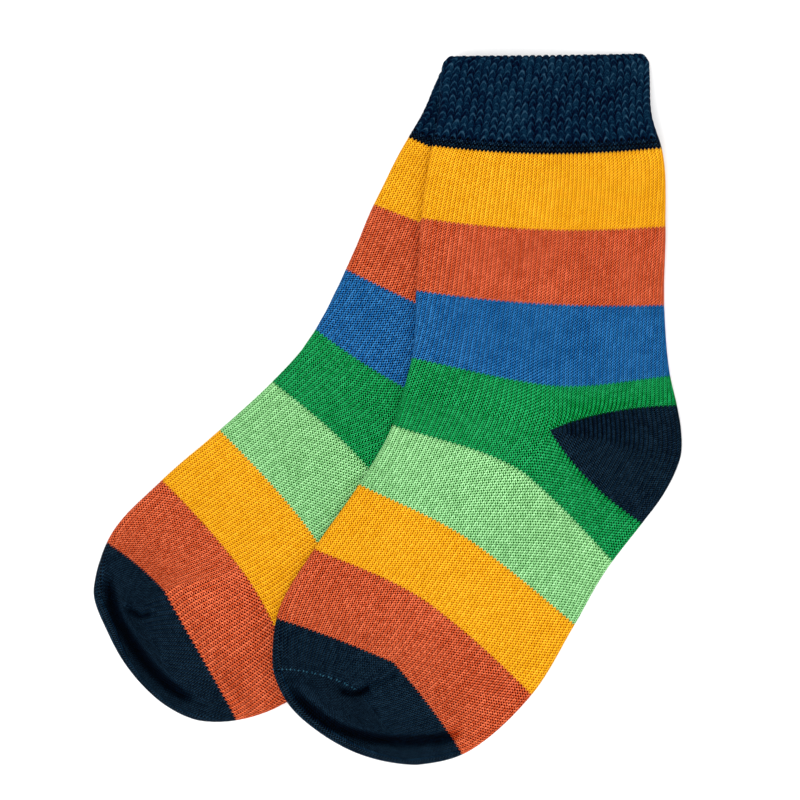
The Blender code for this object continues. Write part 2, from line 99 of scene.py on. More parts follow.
Station = namedtuple("Station", "course front side back")
Pocket = namedtuple("Pocket", "gore outline")  # where its gore line ends, and the rest of its edge
Headings = namedtuple("Headings", "front_out side_in side_out back_in")  # degrees from +X
Sock = namedtuple("Sock", "name leg foot heel toe turns sways creases seam_rise")
# How many needles the wales lie off a regular layout at a course: all round the tube, away from the side
# line to either fold, and towards the back fold on both layers
Sway = namedtuple("Sway", "course twist spread lean")
# A soft trough or ridge of one layer, on the upper side or the under side: the line it follows, how
# wide it is and how high it stands
Crease = namedtuple("Crease", "side line width height")

LEG_SWAYS = [
    Sway(0, 8.0, 0.0, 1.0),
    Sway(34, 6.3, 0.0, 1.0),
    Sway(60, 5.0, 0.0, 1.2),
    Sway(86, 3.7, 0.0, 1.2),
    Sway(98, 2.6, 0.0, 1.4),
    Sway(110, 1.2, 0.0, 2.0),
    Sway(122, 0.0, 0.0, 0.0),
]

FRONT = Sock(
    name="front",
    leg=[
        Station(0, (18.2, 105.2), (47.5, 105.5), (76.8, 106.2)),
        Station(3, (16.6, 103.0), (47.3, 103.1), (78.3, 103.8)),
        Station(6, (16.1, 100.5), (47.1, 100.5), (78.5, 101.2)),
        Station(24, (15.0, 86.5), (46.6, 85.2), (79.2, 86.8)),
        Station(34, (13.2, 78.5), (47.0, 76.0), (82.0, 77.8)),
        Station(60, (10.0, 57.0), (46.5, 53.5), (83.2, 54.5)),
        Station(86, (8.5, 35.3), (46.0, 31.3), (82.9, 31.0)),
        Station(110, (7.2, 15.2), (46.0, 7.2), (84.7, 9.8)),
        Station(122, (4.5, 4.5), (48.5, -6.5), (86.7, 1.0)),
    ],
    foot=[
        Station(122, (4.5, 4.5), (48.5, -6.5), (76.2, -34.5)),
        Station(134, (1.5, -5.0), (40.7, -19.2), (67.4, -45.8)),
        Station(159, (-8.5, -22.7), (27.0, -41.0), (56.1, -64.8)),
        Station(186, (-21.9, -42.0), (14.5, -59.8), (43.2, -85.8)),
        Station(216, (-33.1, -62.6), (1.8, -75.8), (22.5, -103.7)),
        Station(235, (-34.2, -78.0), (-9.0, -84.0), (9.0, -106.7)),
    ],
    heel=Pocket(gore=(87.9, -14.0), outline=[(88.0, -7.0), (87.9, -14.0), (86.0, -19.5), (82.5, -26.0)]),
    toe=Pocket(
        gore=(-13.0, -100.5),
        outline=[(1.0, -106.0), (-9.7, -103.0), (-21.2, -96.3), (-30.2, -87.5)],
    ),
    turns={
        ("leg", 110): Headings(-12, -8, -8, 6),
        ("leg", 122): Headings(-14, -14, 24, 2),
        ("foot", 122): Headings(-14, -14, -60, -34),
        ("foot", 134): Headings(-19, -33, -40, -48),
        ("foot", 159): Headings(-26, -36, -36, -41),
        ("foot", 186): Headings(-23, -38, -38, -46),
        ("foot", 216): Headings(-17, -24, -49, -60),
        ("foot", 235): Headings(5, -32, -52, -50),
    },
    sways=LEG_SWAYS + [Sway(150, -0.3, 0.0, 0.0), Sway(186, -0.6, 0.0, 0.0), Sway(235, 0.0, 0.0, 0.0)],
    creases=[
        Crease(
            "upper",
            [(-31.3, -77.0), (-28.2, -84.0), (-22.8, -89.9), (-15.8, -94.8), (-8.0, -97.8), (1.5, -99.2),
             (11.0, -99.1), (19.5, -98.0), (27.0, -94.8)],
            1.9,
            -2.8,
        ),
        Crease("upper", [(-33.0, -80.0), (-24.0, -80.9), (-16.0, -83.0), (-9.0, -86.0)], 1.3, -0.5),
        Crease("upper", [(-15.5, -83.4), (-10.0, -85.2), (-4.5, -83.4)], 1.1, -1.9),
        Crease("upper", [(-11.5, -85.0), (-3.5, -82.2), (4.5, -78.9)], 1.4, -1.1),
        Crease("upper", [(-12.0, -81.9), (-3.5, -79.2), (5.0, -75.6)], 1.6, 0.6),
        Crease("upper", [(4.0, -77.0), (13.0, -83.0), (22.0, -87.0), (31.0, -86.5)], 3.2, -0.7),
        Crease("upper", [(19.0, -100.0), (27.5, -95.0), (36.0, -88.0)], 3.0, 0.5),
        Crease("under", [(14.0, 14.0), (36.0, 4.0), (58.0, -3.0), (76.0, -7.0)], 3.0, -0.3),
    ],
    seam_rise=0.1,
)

BACK = Sock(
    name="back",
    leg=[
        Station(0, (18.5, 102.2), (46.0, 93.5), (73.0, 86.0)),
        Station(3, (16.0, 100.8), (45.2, 91.4), (74.2, 83.2)),
        Station(6, (15.0, 98.8), (44.6, 89.3), (73.8, 81.1)),
        Station(24, (9.9, 87.3), (39.0, 77.0), (70.0, 68.5)),
        Station(34, (6.2, 81.3), (37.4, 69.0), (71.0, 60.0)),
        Station(60, (-4.1, 61.2), (29.5, 49.0), (64.5, 39.0)),
        Station(86, (-12.5, 41.7), (21.5, 26.2), (56.0, 14.2)),
        Station(110, (-21.6, 23.8), (11.5, 3.0), (47.5, -10.0)),
        Station(122, (-27.0, 16.0), (8.5, -11.0), (46.0, -18.5)),
    ],
    foot=[
        Station(122, (-27.0, 16.0), (8.5, -11.0), (22.5, -46.5)),
        Station(134, (-34.5, 8.0), (-5.5, -18.2), (9.0, -53.0)),
        Station(159, (-50.3, -6.5), (-25.3, -34.0), (-7.0, -67.0)),
        Station(186, (-67.6, -21.5), (-43.7, -48.3), (-25.5, -85.0)),
        Station(216, (-84.0, -40.0), (-66.8, -54.4), (-45.2, -93.4)),
        Station(235, (-88.0, -55.5), (-74.5, -61.0), (-57.0, -93.3)),
    ],
    heel=Pocket(gore=(41.5, -33.0), outline=[(44.0, -26.5), (41.5, -33.0), (38.0, -36.8), (31.5, -41.5)]),
    toe=Pocket(
        gore=(-76.0, -80.0),
        outline=[(-66.3, -89.0), (-73.7, -82.5), (-78.9, -76.0), (-83.8, -67.0)],
    ),
    turns={
        ("leg", 122): Headings(-37, -37, 1, -21),
        ("foot", 122): Headings(-37, -37, -83, -57),
        ("foot", 134): Headings(-38, -50, -52, -78),
        ("foot", 159): Headings(-45, -52, -52, -66),
        ("foot", 186): Headings(-44, -53, -53, -68),
        ("foot", 216): Headings(-32, -48, -62, -64),
        ("foot", 235): Headings(-8, -30, -60, -58),
    },
    sways=LEG_SWAYS
    + [Sway(150, -0.3, 0.0, 0.0), Sway(186, -1.6, 0.0, 0.0), Sway(216, 0.5, 2.0, 2.5), Sway(235, 0.0, 0.0, 0.0)],
    creases=[
        Crease(
            "upper",
            [(-81.0, -44.5), (-82.8, -53.0), (-81.7, -60.5), (-78.0, -67.5), (-73.5, -74.0), (-68.5, -79.8),
             (-63.0, -84.5), (-55.0, -88.0)],
            2.1,
            -2.8,
        ),
        Crease("upper", [(-78.5, -59.0), (-74.0, -61.8), (-69.5, -61.4)], 1.3, -1.6),
        Crease("under", [(-18.0, 6.0), (0.0, -8.0), (18.0, -20.0), (32.0, -27.0)], 3.0, -0.3),
    ],
    seam_rise=-0.22,
)
SOCKS = (BACK, FRONT)

# Each band of plain knitting: its name, its yarn, and its first and last course
Band = namedtuple("Band", "name yarn first last")
LEG_BANDS = [
    Band("leg_yellow", "yellow", 34, 60),
    Band("leg_rust", "rust", 60, 86),
    Band("leg_blue", "blue", 86, 110),
]
ANKLE = Band("ankle_green", "green", 110, 134)
FOOT_BANDS = [
    Band("foot_mint", "mint", 134, 159),
    Band("foot_yellow", "yellow", 159, 186),
    Band("foot_rust", "rust", 186, 216),
]


# ---- curves in the plane ----


def smooth(low, high, at):
    """0 below low, 1 above high, and an S curve between them."""
    s = np.clip((np.asarray(at, float) - low) / (high - low), 0, 1)
    return s * s * (3 - 2 * s)


def hermite(start, leave, end, arrive, s):
    """The cubic from start, leaving along leave, to end, arriving along arrive, at s from 0 to 1."""
    s2 = s * s
    s3 = s2 * s
    return (
        start * (2 * s3 - 3 * s2 + 1)
        + leave * (s3 - 2 * s2 + s)
        + end * (3 * s2 - 2 * s3)
        + arrive * (s3 - s2)
    )


def through(knots, rows, at):
    """A smooth curve through rows, one at each knot: cubic pieces whose slope at a knot follows its
    two neighbours."""
    knots = np.asarray(knots, float)
    rows = np.asarray(rows, float)
    step = np.diff(knots)[:, None]
    secant = np.diff(rows, axis=0) / step
    slope = np.empty_like(rows)
    slope[0] = secant[0]
    slope[-1] = secant[-1]
    slope[1:-1] = (secant[:-1] * step[1:] + secant[1:] * step[:-1]) / (step[1:] + step[:-1])
    at = np.asarray(at, float)
    i = np.clip(np.searchsorted(knots, at, side="right") - 1, 0, len(knots) - 2)
    width = step[i]
    s = ((at - knots[i]) / (knots[i + 1] - knots[i]))[..., None]
    return hermite(rows[i], slope[i] * width, rows[i + 1], slope[i + 1] * width, s)


def heading(degrees, length):
    return np.array([math.cos(math.radians(degrees)), math.sin(math.radians(degrees))]) * length


def course_ends(sock, part, station):
    """The four slopes of a station's course: out of the front fold, into and out of the side line, and
    into the back fold. They are those of the parabola through its three points, unless the sock's
    table of turns says otherwise, as where a pocket begins."""
    front, side, back = (np.array(p) for p in (station.front, station.side, station.back))
    turns = sock.turns.get((part, station.course))
    if turns is None:
        middle = (back - front) / 2
        return (4 * side - 3 * front - back) / 2, middle, middle, (front - 4 * side + 3 * back) / 2
    ahead = np.linalg.norm(side - front)
    behind = np.linalg.norm(back - side)
    return (
        heading(turns.front_out, ahead),
        heading(turns.side_in, ahead),
        heading(turns.side_out, behind),
        heading(turns.back_in, behind),
    )


def course_line(sock, part, course, u):
    """The place on a course of the leg or foot, u from 0 at the front fold over 0.5 at the side line to
    1 at the back fold. Two cubics join three guide curves: front fold, side line and back fold."""
    course, u = np.broadcast_arrays(np.asarray(course, float), np.asarray(u, float))
    whole = sock.leg + sock.foot[1:]
    stations = getattr(sock, part)
    knots = [s.course for s in stations]
    every = [s.course for s in whole]
    past_toe = SEAM + (SEAM - TOE)
    front = through(every + [past_toe], [s.front for s in whole] + [sock.toe.outline[-1]], course)
    side = through(every, [s.side for s in whole], course)
    if part == "leg":
        past_heel = [*knots, 2 * HEEL - knots[-2]], [*(s.back for s in stations), sock.heel.outline[0]]
        back = through(*past_heel, course)
    else:
        before = 2 * HEEL - knots[1], sock.heel.outline[-1]
        backs = [before[1], *(s.back for s in stations), sock.toe.outline[0]]
        back = through([before[0], *knots, past_toe], backs, course)
    ends = np.array([course_ends(sock, part, s) for s in stations])
    front_out, side_in, side_out, back_in = (through(knots, ends[:, i], course) for i in range(4))
    ahead = hermite(front, front_out, side, side_in, (2 * u)[..., None])
    behind = hermite(side, side_out, back, back_in, (2 * u - 1)[..., None])
    return np.where(u[..., None] < 0.5, ahead, behind)


def half_widths(sock, part, course):
    """The lengths from the side line to the front fold and to the back fold, at a course."""
    front, side, back = (course_line(sock, part, course, u) for u in (0.0, 0.5, 1.0))
    return np.linalg.norm(side - front, axis=-1), np.linalg.norm(back - side, axis=-1)


def pocket_edge(sock, which, turn):
    """The outer edge of a pocket, turn from 0 to 1 round it."""
    if which == "heel":
        before, first = sock.leg[-2].back, sock.leg[-1].back
        last, after = sock.foot[0].back, sock.foot[1].back
        pocket = sock.heel
    else:
        before, first = sock.foot[-2].back, sock.foot[-1].back
        last, after = sock.foot[-1].front, sock.foot[-2].front
        pocket = sock.toe
    points = np.array([before, first, *pocket.outline, last, after])
    length = np.concatenate([[0], np.cumsum(np.linalg.norm(np.diff(points, axis=0), axis=1))])
    span = length[-2] - length[1]
    return through((length - length[1]) / span, points, turn)


def pocket_place(sock, which, reach, turn):
    """The place in a pocket: reach from 0 at its corner on the side line to 1 at its edge, turn from 0
    to 1 round it. Wales keep their reach. Near the corner they run straight to the gore line and bend
    there, and near the edge they are round as it is."""
    reach, turn = np.broadcast_arrays(np.asarray(reach, float), np.asarray(turn, float))
    if which == "heel":
        first = course_line(sock, "leg", HEEL, 0.5 + reach / 2)
        last = course_line(sock, "foot", HEEL, 0.5 + reach / 2)
        corner = np.array(sock.foot[0].side)
        gore = np.array(sock.heel.gore)
    else:
        first = course_line(sock, "foot", SEAM, 0.5 + reach / 2)
        last = course_line(sock, "foot", SEAM, 0.5 - reach / 2)
        corner = np.array(sock.foot[-1].side)
        gore = np.array(sock.toe.gore)
    start = pocket_edge(sock, which, 0.0)
    end = pocket_edge(sock, which, 1.0)
    r = reach[..., None]
    t = turn[..., None]
    bent = np.where(t < 0.5, start + (gore - start) * 2 * t, gore + (end - gore) * (2 * t - 1))
    rounded = smooth(0.25, 1.0, r)
    fan = corner + r * (bent + (pocket_edge(sock, which, turn) - bent) * rounded - corner)
    at_start = first - (corner + r * (start - corner))
    at_end = last - (corner + r * (end - corner))
    return fan + (1 - t) ** 2 * at_start + t**2 * at_end


# ---- heights ----

OUTLINE_STEPS = 24  # along each stretch of an outline that is only measured from
HEM_FALL = (-9.0, -1.0)  # from the cuff's hem, over which a sock thins from cuff to leg
CHUNK = 12000  # places measured from an outline at one time
CREASE_SHADE_DEPTH = 2.6  # of a crease whose painted shade is as dark inside as one gets


def half_height(course):
    """Half the height of a fold: the ribbed cuff's, the leg's and foot's, and the toe pocket's."""
    cuff = CUFF_WALL + LAYER_GAP / 2
    plain = WALL + LAYER_GAP / 2
    return cuff + (plain - cuff) * smooth(CUFF_END, CUFF_END + 4, course) + (TOE_HALF - plain) * smooth(
        TOE - 6, SEAM, course
    )


def wall_at(course):
    return CUFF_WALL + (WALL - CUFF_WALL) * smooth(CUFF_END, CUFF_END + 4, course)


def outline(sock):
    """The sock's whole outline as a closed loop of points, from the front of its cuff to its toe, and
    back up its sole, heel and leg."""
    down_leg = np.linspace(0, HEEL, OUTLINE_STEPS)
    down_foot = np.linspace(HEEL, SEAM, OUTLINE_STEPS)
    turn = np.linspace(0, 1, OUTLINE_STEPS)
    return np.concatenate(
        [
            course_line(sock, "leg", down_leg, 0.0),
            course_line(sock, "foot", down_foot, 0.0),
            pocket_edge(sock, "toe", turn[::-1]),
            course_line(sock, "foot", down_foot[::-1], 1.0),
            pocket_edge(sock, "heel", turn[::-1]),
            course_line(sock, "leg", down_leg[::-1], 1.0),
        ]
    )


def distance_to(line, places, closed=False):
    """How far each place is from a line of points, and where along it, from 0 to 1, the nearest is."""
    start = line if closed else line[:-1]
    end = np.roll(line, -1, axis=0) if closed else line[1:]
    run = end - start
    square = np.maximum((run * run).sum(1), 1e-12)
    away = places[..., None, :] - start
    s = np.clip((away * run).sum(-1) / square, 0, 1)
    gap = np.linalg.norm(away - s[..., None] * run, axis=-1)
    nearest = gap.argmin(-1)
    part = np.take_along_axis(s, nearest[..., None], -1)[..., 0]
    return gap.min(-1), (nearest + part) / len(start)


def inside(loop, places):
    """Whether each place is inside a closed loop of points, by how often a line to +X crosses it."""
    x, y = places[..., 0, None], places[..., 1, None]
    ax, ay = loop[:, 0], loop[:, 1]
    bx, by = np.roll(ax, -1), np.roll(ay, -1)
    rise = np.where(by == ay, 1e-12, by - ay)
    crosses = ((ay > y) != (by > y)) & (x < ax + (bx - ax) * (y - ay) / rise)
    return crosses.sum(-1) % 2 == 1


def in_chunks(measure, places):
    """A measure of a whole array of places, worked out for some of them at a time."""
    flat = places.reshape(-1, 2)
    parts = [measure(flat[i : i + CHUNK]) for i in range(0, len(flat), CHUNK)]
    return np.concatenate(parts).reshape(places.shape[:-1])


BACK_OUTLINE = outline(BACK)


def resting_height(sock, places):
    """What a sock lies on: the surface for the back sock. The front sock lies on the back sock, which is
    thicker at its cuff, and comes down to the surface past its edge."""
    if sock is BACK:
        return np.zeros(places.shape[:-1])
    knee, hem = np.array(BACK.leg[-2].side), np.array(BACK.leg[4].side)
    up_leg = (hem - knee) / np.linalg.norm(hem - knee)
    plain = 2 * half_height(HEEL) + LOFT + PIECE_GAP
    cuff = 2 * half_height(0) + LOFT + PIECE_GAP

    def measure(some):
        height = plain + (cuff - plain) * smooth(*HEM_FALL, (some - hem) @ up_leg)
        gap, _ = distance_to(BACK_OUTLINE, some, closed=True)
        gap = np.where(inside(BACK_OUTLINE, some), 0, gap)
        return height * (1 - smooth(REST_MARGIN, REST_MARGIN + REST_RAMP, gap))

    return in_chunks(measure, places)


def toe_swell(sock, places):
    """How much the toe pocket's upper layer stands above a plain fold: its body swells inside its
    rolled rim."""
    rim = pocket_edge(sock, "toe", np.linspace(-0.15, 1, 3 * OUTLINE_STEPS))
    start = np.array(sock.foot[-2].side)
    corner = np.array(sock.foot[-1].side)
    down_foot = (corner - start) / np.linalg.norm(corner - start)

    def measure(some):
        gap, _ = distance_to(rim, some)
        return TOE_SWELL * smooth(4.8, 8.5, gap) * smooth(-14.0, 4.0, (some - start) @ down_foot)

    return in_chunks(measure, places)


def crease_height(sock, places, side):
    """The sum of the sock's creases on one side: each is a bell across its line, and fades towards
    both its ends."""
    total = np.zeros(places.shape[:-1])
    for crease in sock.creases:
        if crease.side != side:
            continue
        points = np.array(crease.line)
        length = np.concatenate([[0], np.cumsum(np.linalg.norm(np.diff(points, axis=0), axis=1))])
        line = through(length, points, np.linspace(0, length[-1], 2 * OUTLINE_STEPS))
        low, high = line.min(axis=0) - 3 * crease.width, line.max(axis=0) + 3 * crease.width
        near = ((places > low) & (places < high)).all(axis=-1)
        if not near.any():
            continue
        gap, along = distance_to(line, places[near])
        ends = smooth(0, 0.25, along) * (1 - smooth(0.85, 1, along))
        total[near] += crease.height * np.exp(-((gap / crease.width) ** 2)) * ends
    return total


# ---- the tube's surface, as a function of needle and course ----


def swayed(sock, course, needle):
    """A needle's place round the tube at a course, in needles of a regular layout."""
    knots = [s.course for s in sock.sways]
    rows = [(s.twist, s.spread, s.lean) for s in sock.sways]
    twist, spread, lean = (np.interp(course, knots, column) for column in zip(*rows))
    from_side = 2 * np.pi * (needle - SIDE) / NEEDLES
    return (needle + twist + spread * np.sin(from_side) + lean * np.cos(from_side)) % NEEDLES


def column_place(column):
    """Where a column of a regular layout lies: q from 0 to 1 across the level part of its layer, and the
    angle in radians round a fold, 0 at the fold's edge and less on the lower layer."""
    across = np.where(column <= FACE, column, NEEDLES - column)
    q = np.clip((across - FOLD_NEEDLES) / (FACE - 2 * FOLD_NEEDLES), 0, 1)
    angle = np.pi / 2 * np.clip(np.minimum(across, FACE - across) / FOLD_NEEDLES, 0, 1)
    return q, angle * np.where(column <= FACE, 1.0, -1.0)


def lifted(sock, places, course, q, angle, radius):
    """Places in the plane raised to the tube's surface: the height of what the sock lies on, half a
    fold's height, the fold's own turn, the upper layer's spring and toe shape, and each layer's creases."""
    up = np.sin(angle)
    height = resting_height(sock, places) + half_height(course) + up * radius
    at_toe = np.broadcast_to(smooth(TOE - 12, TOE, course), places.shape[:-1])
    toe = np.zeros(places.shape[:-1])
    shaped = (at_toe > 0) & (up > 0)
    if shaped.any():
        toe[shaped] = toe_swell(sock, places[shaped]) * at_toe[shaped]
    spring = LOFT * np.sin(np.pi * q) ** 0.5 + crease_height(sock, places, "upper") + toe
    pinch = crease_height(sock, places, "under")
    height = height + np.where(up > 0, spring * up, pinch * up)
    return np.concatenate([places, height[..., None]], axis=-1)


def ring_places(sock, part, course, needle, depth):
    """Rings of the leg or foot: away from a fold the layers are level, and at a fold they turn round
    its centre. depth is how far under the outer surface a point is."""
    course = np.asarray(course, float)[:, None]
    depth = np.asarray(depth, float)[:, None]
    q, angle = column_place(swayed(sock, course, needle[None, :]))
    ahead, behind = half_widths(sock, part, course)
    rounded = half_height(course)
    radius = rounded - depth
    out = np.cos(angle) * radius
    to_back = ((2 * q - 1) * (behind - rounded) + out) / behind
    to_front = ((1 - 2 * q) * (ahead - rounded) + out) / ahead
    u = 0.5 + np.where(q > 0.5, to_back, -to_front) / 2
    places = course_line(sock, part, course + 0 * q, u)
    return lifted(sock, places, course, q, angle, radius)


def pocket_places(sock, which, turn, needle):
    """A pocket's wales turn round its corner: rows at each turn, columns at each needle from the side
    line over the back fold to the lower layer's side line."""
    turn = np.asarray(turn, float)[:, None]
    q, angle = column_place(needle[None, :])
    course = float(HEEL if which == "heel" else SEAM)
    corner = np.array(sock.foot[0].side if which == "heel" else sock.foot[-1].side)
    width = np.linalg.norm(pocket_edge(sock, which, turn) - corner, axis=-1)
    rounded = half_height(course)
    reach = ((2 * q - 1) * (width - rounded) + np.cos(angle) * rounded) / width
    places = pocket_place(sock, which, reach, turn + 0 * q)
    return lifted(sock, places, course, q, angle, rounded)


# ---- the stitches' relief ----


def saw(x):
    """0 at whole numbers and 1 halfway between them, along straight lines."""
    return 1 - np.abs(2 * (x - np.floor(x)) - 1)


def hump(x):
    """0 at whole numbers and 1 halfway between them, along a round arch."""
    return 1 - (2 * (x - np.floor(x)) - 1) ** 2


def rib_share(course):
    """How much of the knitting at a row is mock rib: all of the cuff but its last rows."""
    return 1 - smooth(CUFF_STITCHES - 3, CUFF_STITCHES - 1.5, course)


def tooth_length(needle, course, sizes):
    """How far a stitch's point stands up the wale from its course, the same amount either side of it. Plain
    knitting has a point at each needle, and the mock rib one at each second needle, lower at its lip."""
    lip = 0.3 + 0.7 * smooth(0, 3, course)
    plain = (0.5 - saw(needle)) * sizes.tooth / MM
    rib = (0.5 - hump(needle / 2)) * sizes.rib_tooth / MM * lip
    share = rib_share(course)
    return plain * (1 - share) + rib * share


def stitch_relief(needle, course, stretch, sizes):
    """How far the surface stands out at a stitch: each wale is a low ridge, parted between its two
    legs, and higher where the cloth is stretched across. The mock rib does the same over two needles,
    and is fuller in the middle of each two courses, its neighbours a course apart."""

    def ridge(wale):
        return -0.45 * np.cos(2 * np.pi * wale) - 0.45 * np.cos(4 * np.pi * wale)

    plain = sizes.stitch_height * (1 + stretch) * ridge(needle)
    column = np.floor(needle / 2)
    chain = (course + column) / 2
    rib = sizes.rib_height * ridge(needle / 2) + sizes.rib_bulge * np.cos(2 * np.pi * chain)
    share = rib_share(course)
    return (plain * (1 - share) + rib * share) / MM


def ring_stretch(needle, course):
    """How much the leg and foot are stretched across the wales, 0 to 1: beside the heel, and a
    little in the toe."""
    beside = smooth(11, 2, HEEL - course) * smooth(3, 0, course - HEEL)
    off_fold = np.abs(needle - FACE)
    at_heel = beside * smooth(34, 24, off_fold) * (0.4 + 0.3 * smooth(6, 20, off_fold))
    return np.maximum(at_heel, 0.12 * smooth(TOE - 1, TOE + 2, course))


def pocket_stretch(which, needle, turn):
    """How much a pocket is stretched across the wales: most in a heel's upper half."""
    if which == "toe":
        return 0.12 + 0 * (needle + turn)
    upper = smooth(0.58, 0.42, turn)
    off_fold = np.abs(needle - FACE)
    return (0.05 + (0.3 + 0.4 * smooth(4, 20, off_fold)) * upper) * smooth(0, 5, SIDE - off_fold)


# ---- one sock's points ----

Patch = namedtuple("Patch", "needle course places run out tooth relief stretch wall")
# fold is each point's painted shade from the creases of its upper side, 0 to 1
Knitting = namedtuple("Knitting", "patches number points inner stretch fold count")
KNITTED = {}

RING_NEEDLES = np.concatenate([np.arange(0, FACE, UPPER_STEP), np.arange(FACE, NEEDLES, LOWER_STEP)])
POCKET_NEEDLES = np.concatenate(
    [np.arange(SIDE, FACE, UPPER_STEP), np.arange(FACE, FACE + SIDE + LOWER_STEP / 2, LOWER_STEP)]
)


def unit(vectors):
    length = np.linalg.norm(vectors, axis=-1, keepdims=True)
    return vectors / np.maximum(length, 1e-9)


def make_patch(places, needle, course, closed, stretch, wall, sizes):
    """A patch of surface with its directions: run down the wales, and out of the tube, which is run
    crossed with the way round the tube."""
    down = np.gradient(places, axis=0)
    if closed:
        round_tube = np.roll(places, -1, axis=1) - np.roll(places, 1, axis=1)
    else:
        round_tube = np.gradient(places, axis=1)
    out = unit(np.cross(down, round_tube))
    if not closed:
        out[:, 0] = out[:, 1]
        out[:, -1] = out[:, -2]
    needle = np.broadcast_to(needle, course.shape)
    tooth = tooth_length(needle, course, sizes)
    relief = stitch_relief(needle, course, stretch, sizes)
    under = np.clip(-out[..., 2], 0, 1)
    relief = relief - under * sizes.stitch_height * (1 + stretch) / MM
    wall = np.broadcast_to(wall, course.shape)
    return Patch(needle, course, places, unit(down), out, tooth, relief, stretch, wall)


def ring_patch(sock, part, courses, depths, at, sizes):
    places = ring_places(sock, part, at, RING_NEEDLES, depths)
    course = np.broadcast_to(courses[:, None], places.shape[:2])
    stretch = ring_stretch(RING_NEEDLES[None, :], course)
    course = np.where(course > 0, np.interp(course, COURSES, STITCHES), course)
    return make_patch(places, RING_NEEDLES, course, True, stretch, wall_at(at)[:, None], sizes)


def pocket_patch(sock, which, sizes):
    """A pocket's short rows: a wale near the corner is crossed by few of them, and those past the
    gore's end by all. Each row is counted from the pocket's start."""
    start = HEEL if which == "heel" else SEAM
    rows = 2 * SHORT_ROWS
    turn = np.linspace(0, 1, rows + 1)[:, None]
    places = pocket_places(sock, which, turn[:, 0], POCKET_NEEDLES)
    reach = SIDE - np.abs(POCKET_NEEDLES - FACE)[None, :]
    stitches = float(np.interp(start, COURSES, STITCHES))
    course = stitches + POCKET_ROWS[which] * np.minimum(reach / SHORT_ROWS, 1) * turn
    stretch = pocket_stretch(which, POCKET_NEEDLES[None, :], turn)
    patch = make_patch(places, POCKET_NEEDLES, course, False, stretch, wall_at(float(start)), sizes)
    return patch._replace(tooth=patch.tooth * smooth(0, 4, reach))


def leg_patch(sock, sizes):
    """The leg, from the cuff's top edge, which turns from inside to outside round half its wall."""
    turn = np.radians(LIP_TURNS)
    edge = LIP * (1 - 2 * turn / np.pi)
    depth = CUFF_WALL / 2 * (1 - np.cos(turn))
    at = LIP * (1 - np.sin(turn))
    rows = LEG_COURSES
    every = (np.concatenate(pair) for pair in ((edge, rows), (depth, 0 * rows), (at, rows)))
    patch = ring_patch(sock, "leg", *every, sizes)
    lip = len(LIP_TURNS)
    run = patch.run.copy()
    run[:lip] = run[lip + 1]
    return patch._replace(run=run)


def knit(sock, sizes):
    """Works out a sock's surface: its patches are welded where they meet, and a welded point's
    directions and relief are the means of its patches', so that neighbouring pieces meet exactly."""
    foot = FOOT_COURSES
    patches = {
        "leg": leg_patch(sock, sizes),
        "foot": ring_patch(sock, "foot", foot, 0 * foot, foot, sizes),
        "heel": pocket_patch(sock, "heel", sizes),
        "toe": pocket_patch(sock, "toe", sizes),
    }
    every = list(patches.values())
    places = np.concatenate([p.places.reshape(-1, 3) for p in every])
    keys = np.round(places / 1e-3).astype(np.int64)
    _, first, number = np.unique(keys, axis=0, return_index=True, return_inverse=True)
    number = number.ravel()
    count = len(first)
    share = np.bincount(number, minlength=count)

    def mean(values):
        flat = np.concatenate([v.ravel() for v in values])
        return np.bincount(number, weights=flat, minlength=count) / share

    def mean_vector(name):
        return np.stack([mean([getattr(p, name)[..., i] for p in every]) for i in range(3)], axis=-1)

    run = mean_vector("run")
    out = unit(mean_vector("out"))
    tooth = mean([p.tooth for p in every])[:, None]
    relief = mean([p.relief for p in every])[:, None]
    wall = mean([p.wall for p in every])[:, None]
    stretch = mean([p.stretch for p in every])
    base = places[first] + run * tooth - np.array(PAIR_CENTRE)
    points = base + out * relief
    points[:, 2] = np.maximum(points[:, 2], 0)
    inner = base - out * wall
    # Painted shade in the creases: a point of the upper side gets a fold value from 0 to 1 by how deep its crease is,
    # and its colour is darkened by it
    depth = -crease_height(sock, (base + np.array(PAIR_CENTRE))[:, :2], "upper")
    fold = smooth(0.3, CREASE_SHADE_DEPTH, depth) * (out[:, 2] > 0)
    shapes = [p.course.shape for p in every]
    ends = np.cumsum([0] + [a * b for a, b in shapes])
    numbers = {
        name: number[ends[i] : ends[i + 1]].reshape(shapes[i]) for i, name in enumerate(patches)
    }
    return Knitting(patches, numbers, points, inner, stretch, fold, count)


# ---- meshes ----

Slice = namedtuple("Slice", "patch first last")  # rows first to last of a patch
# A bake map's share for each side of a piece: where it starts, where it ends, and in how many strips
Share = namedtuple("Share", "low high strips")
UPPER_SHARE = Share(0.0, 0.66, 2)
LOWER_SHARE = Share(0.66, 0.90, 2)
INNER_SHARE = Share(0.90, 0.98, 2)
EDGE_SHARE = Share(0.98, 1.0, 1)
SHARE_GAP = 0.004


def cells(grid):
    """The four corners of each cell of a grid, down the wale first, so that its face points out."""
    corners = np.stack([grid[:-1, :-1], grid[1:, :-1], grid[1:, 1:], grid[:-1, 1:]], axis=2)
    return corners.reshape(-1, *corners.shape[2:])


def strip_map(along, across, share, part, parts):
    """Places in the bake map for cells whose corners are at along and across, both from 0 to 1: a
    side of the piece is cut into strips, which lie one above another."""
    middle = along.mean(axis=1, keepdims=True)
    strip = np.clip(np.floor(middle * share.strips), 0, share.strips - 1)
    u = along * share.strips - strip
    height = (share.high - share.low) / (share.strips * parts)
    row = strip * parts + part
    v = share.low + (row + across * (1 - 2 * SHARE_GAP) + SHARE_GAP) * height
    return np.stack([SHARE_GAP + u * (1 - 2 * SHARE_GAP), v], axis=-1)


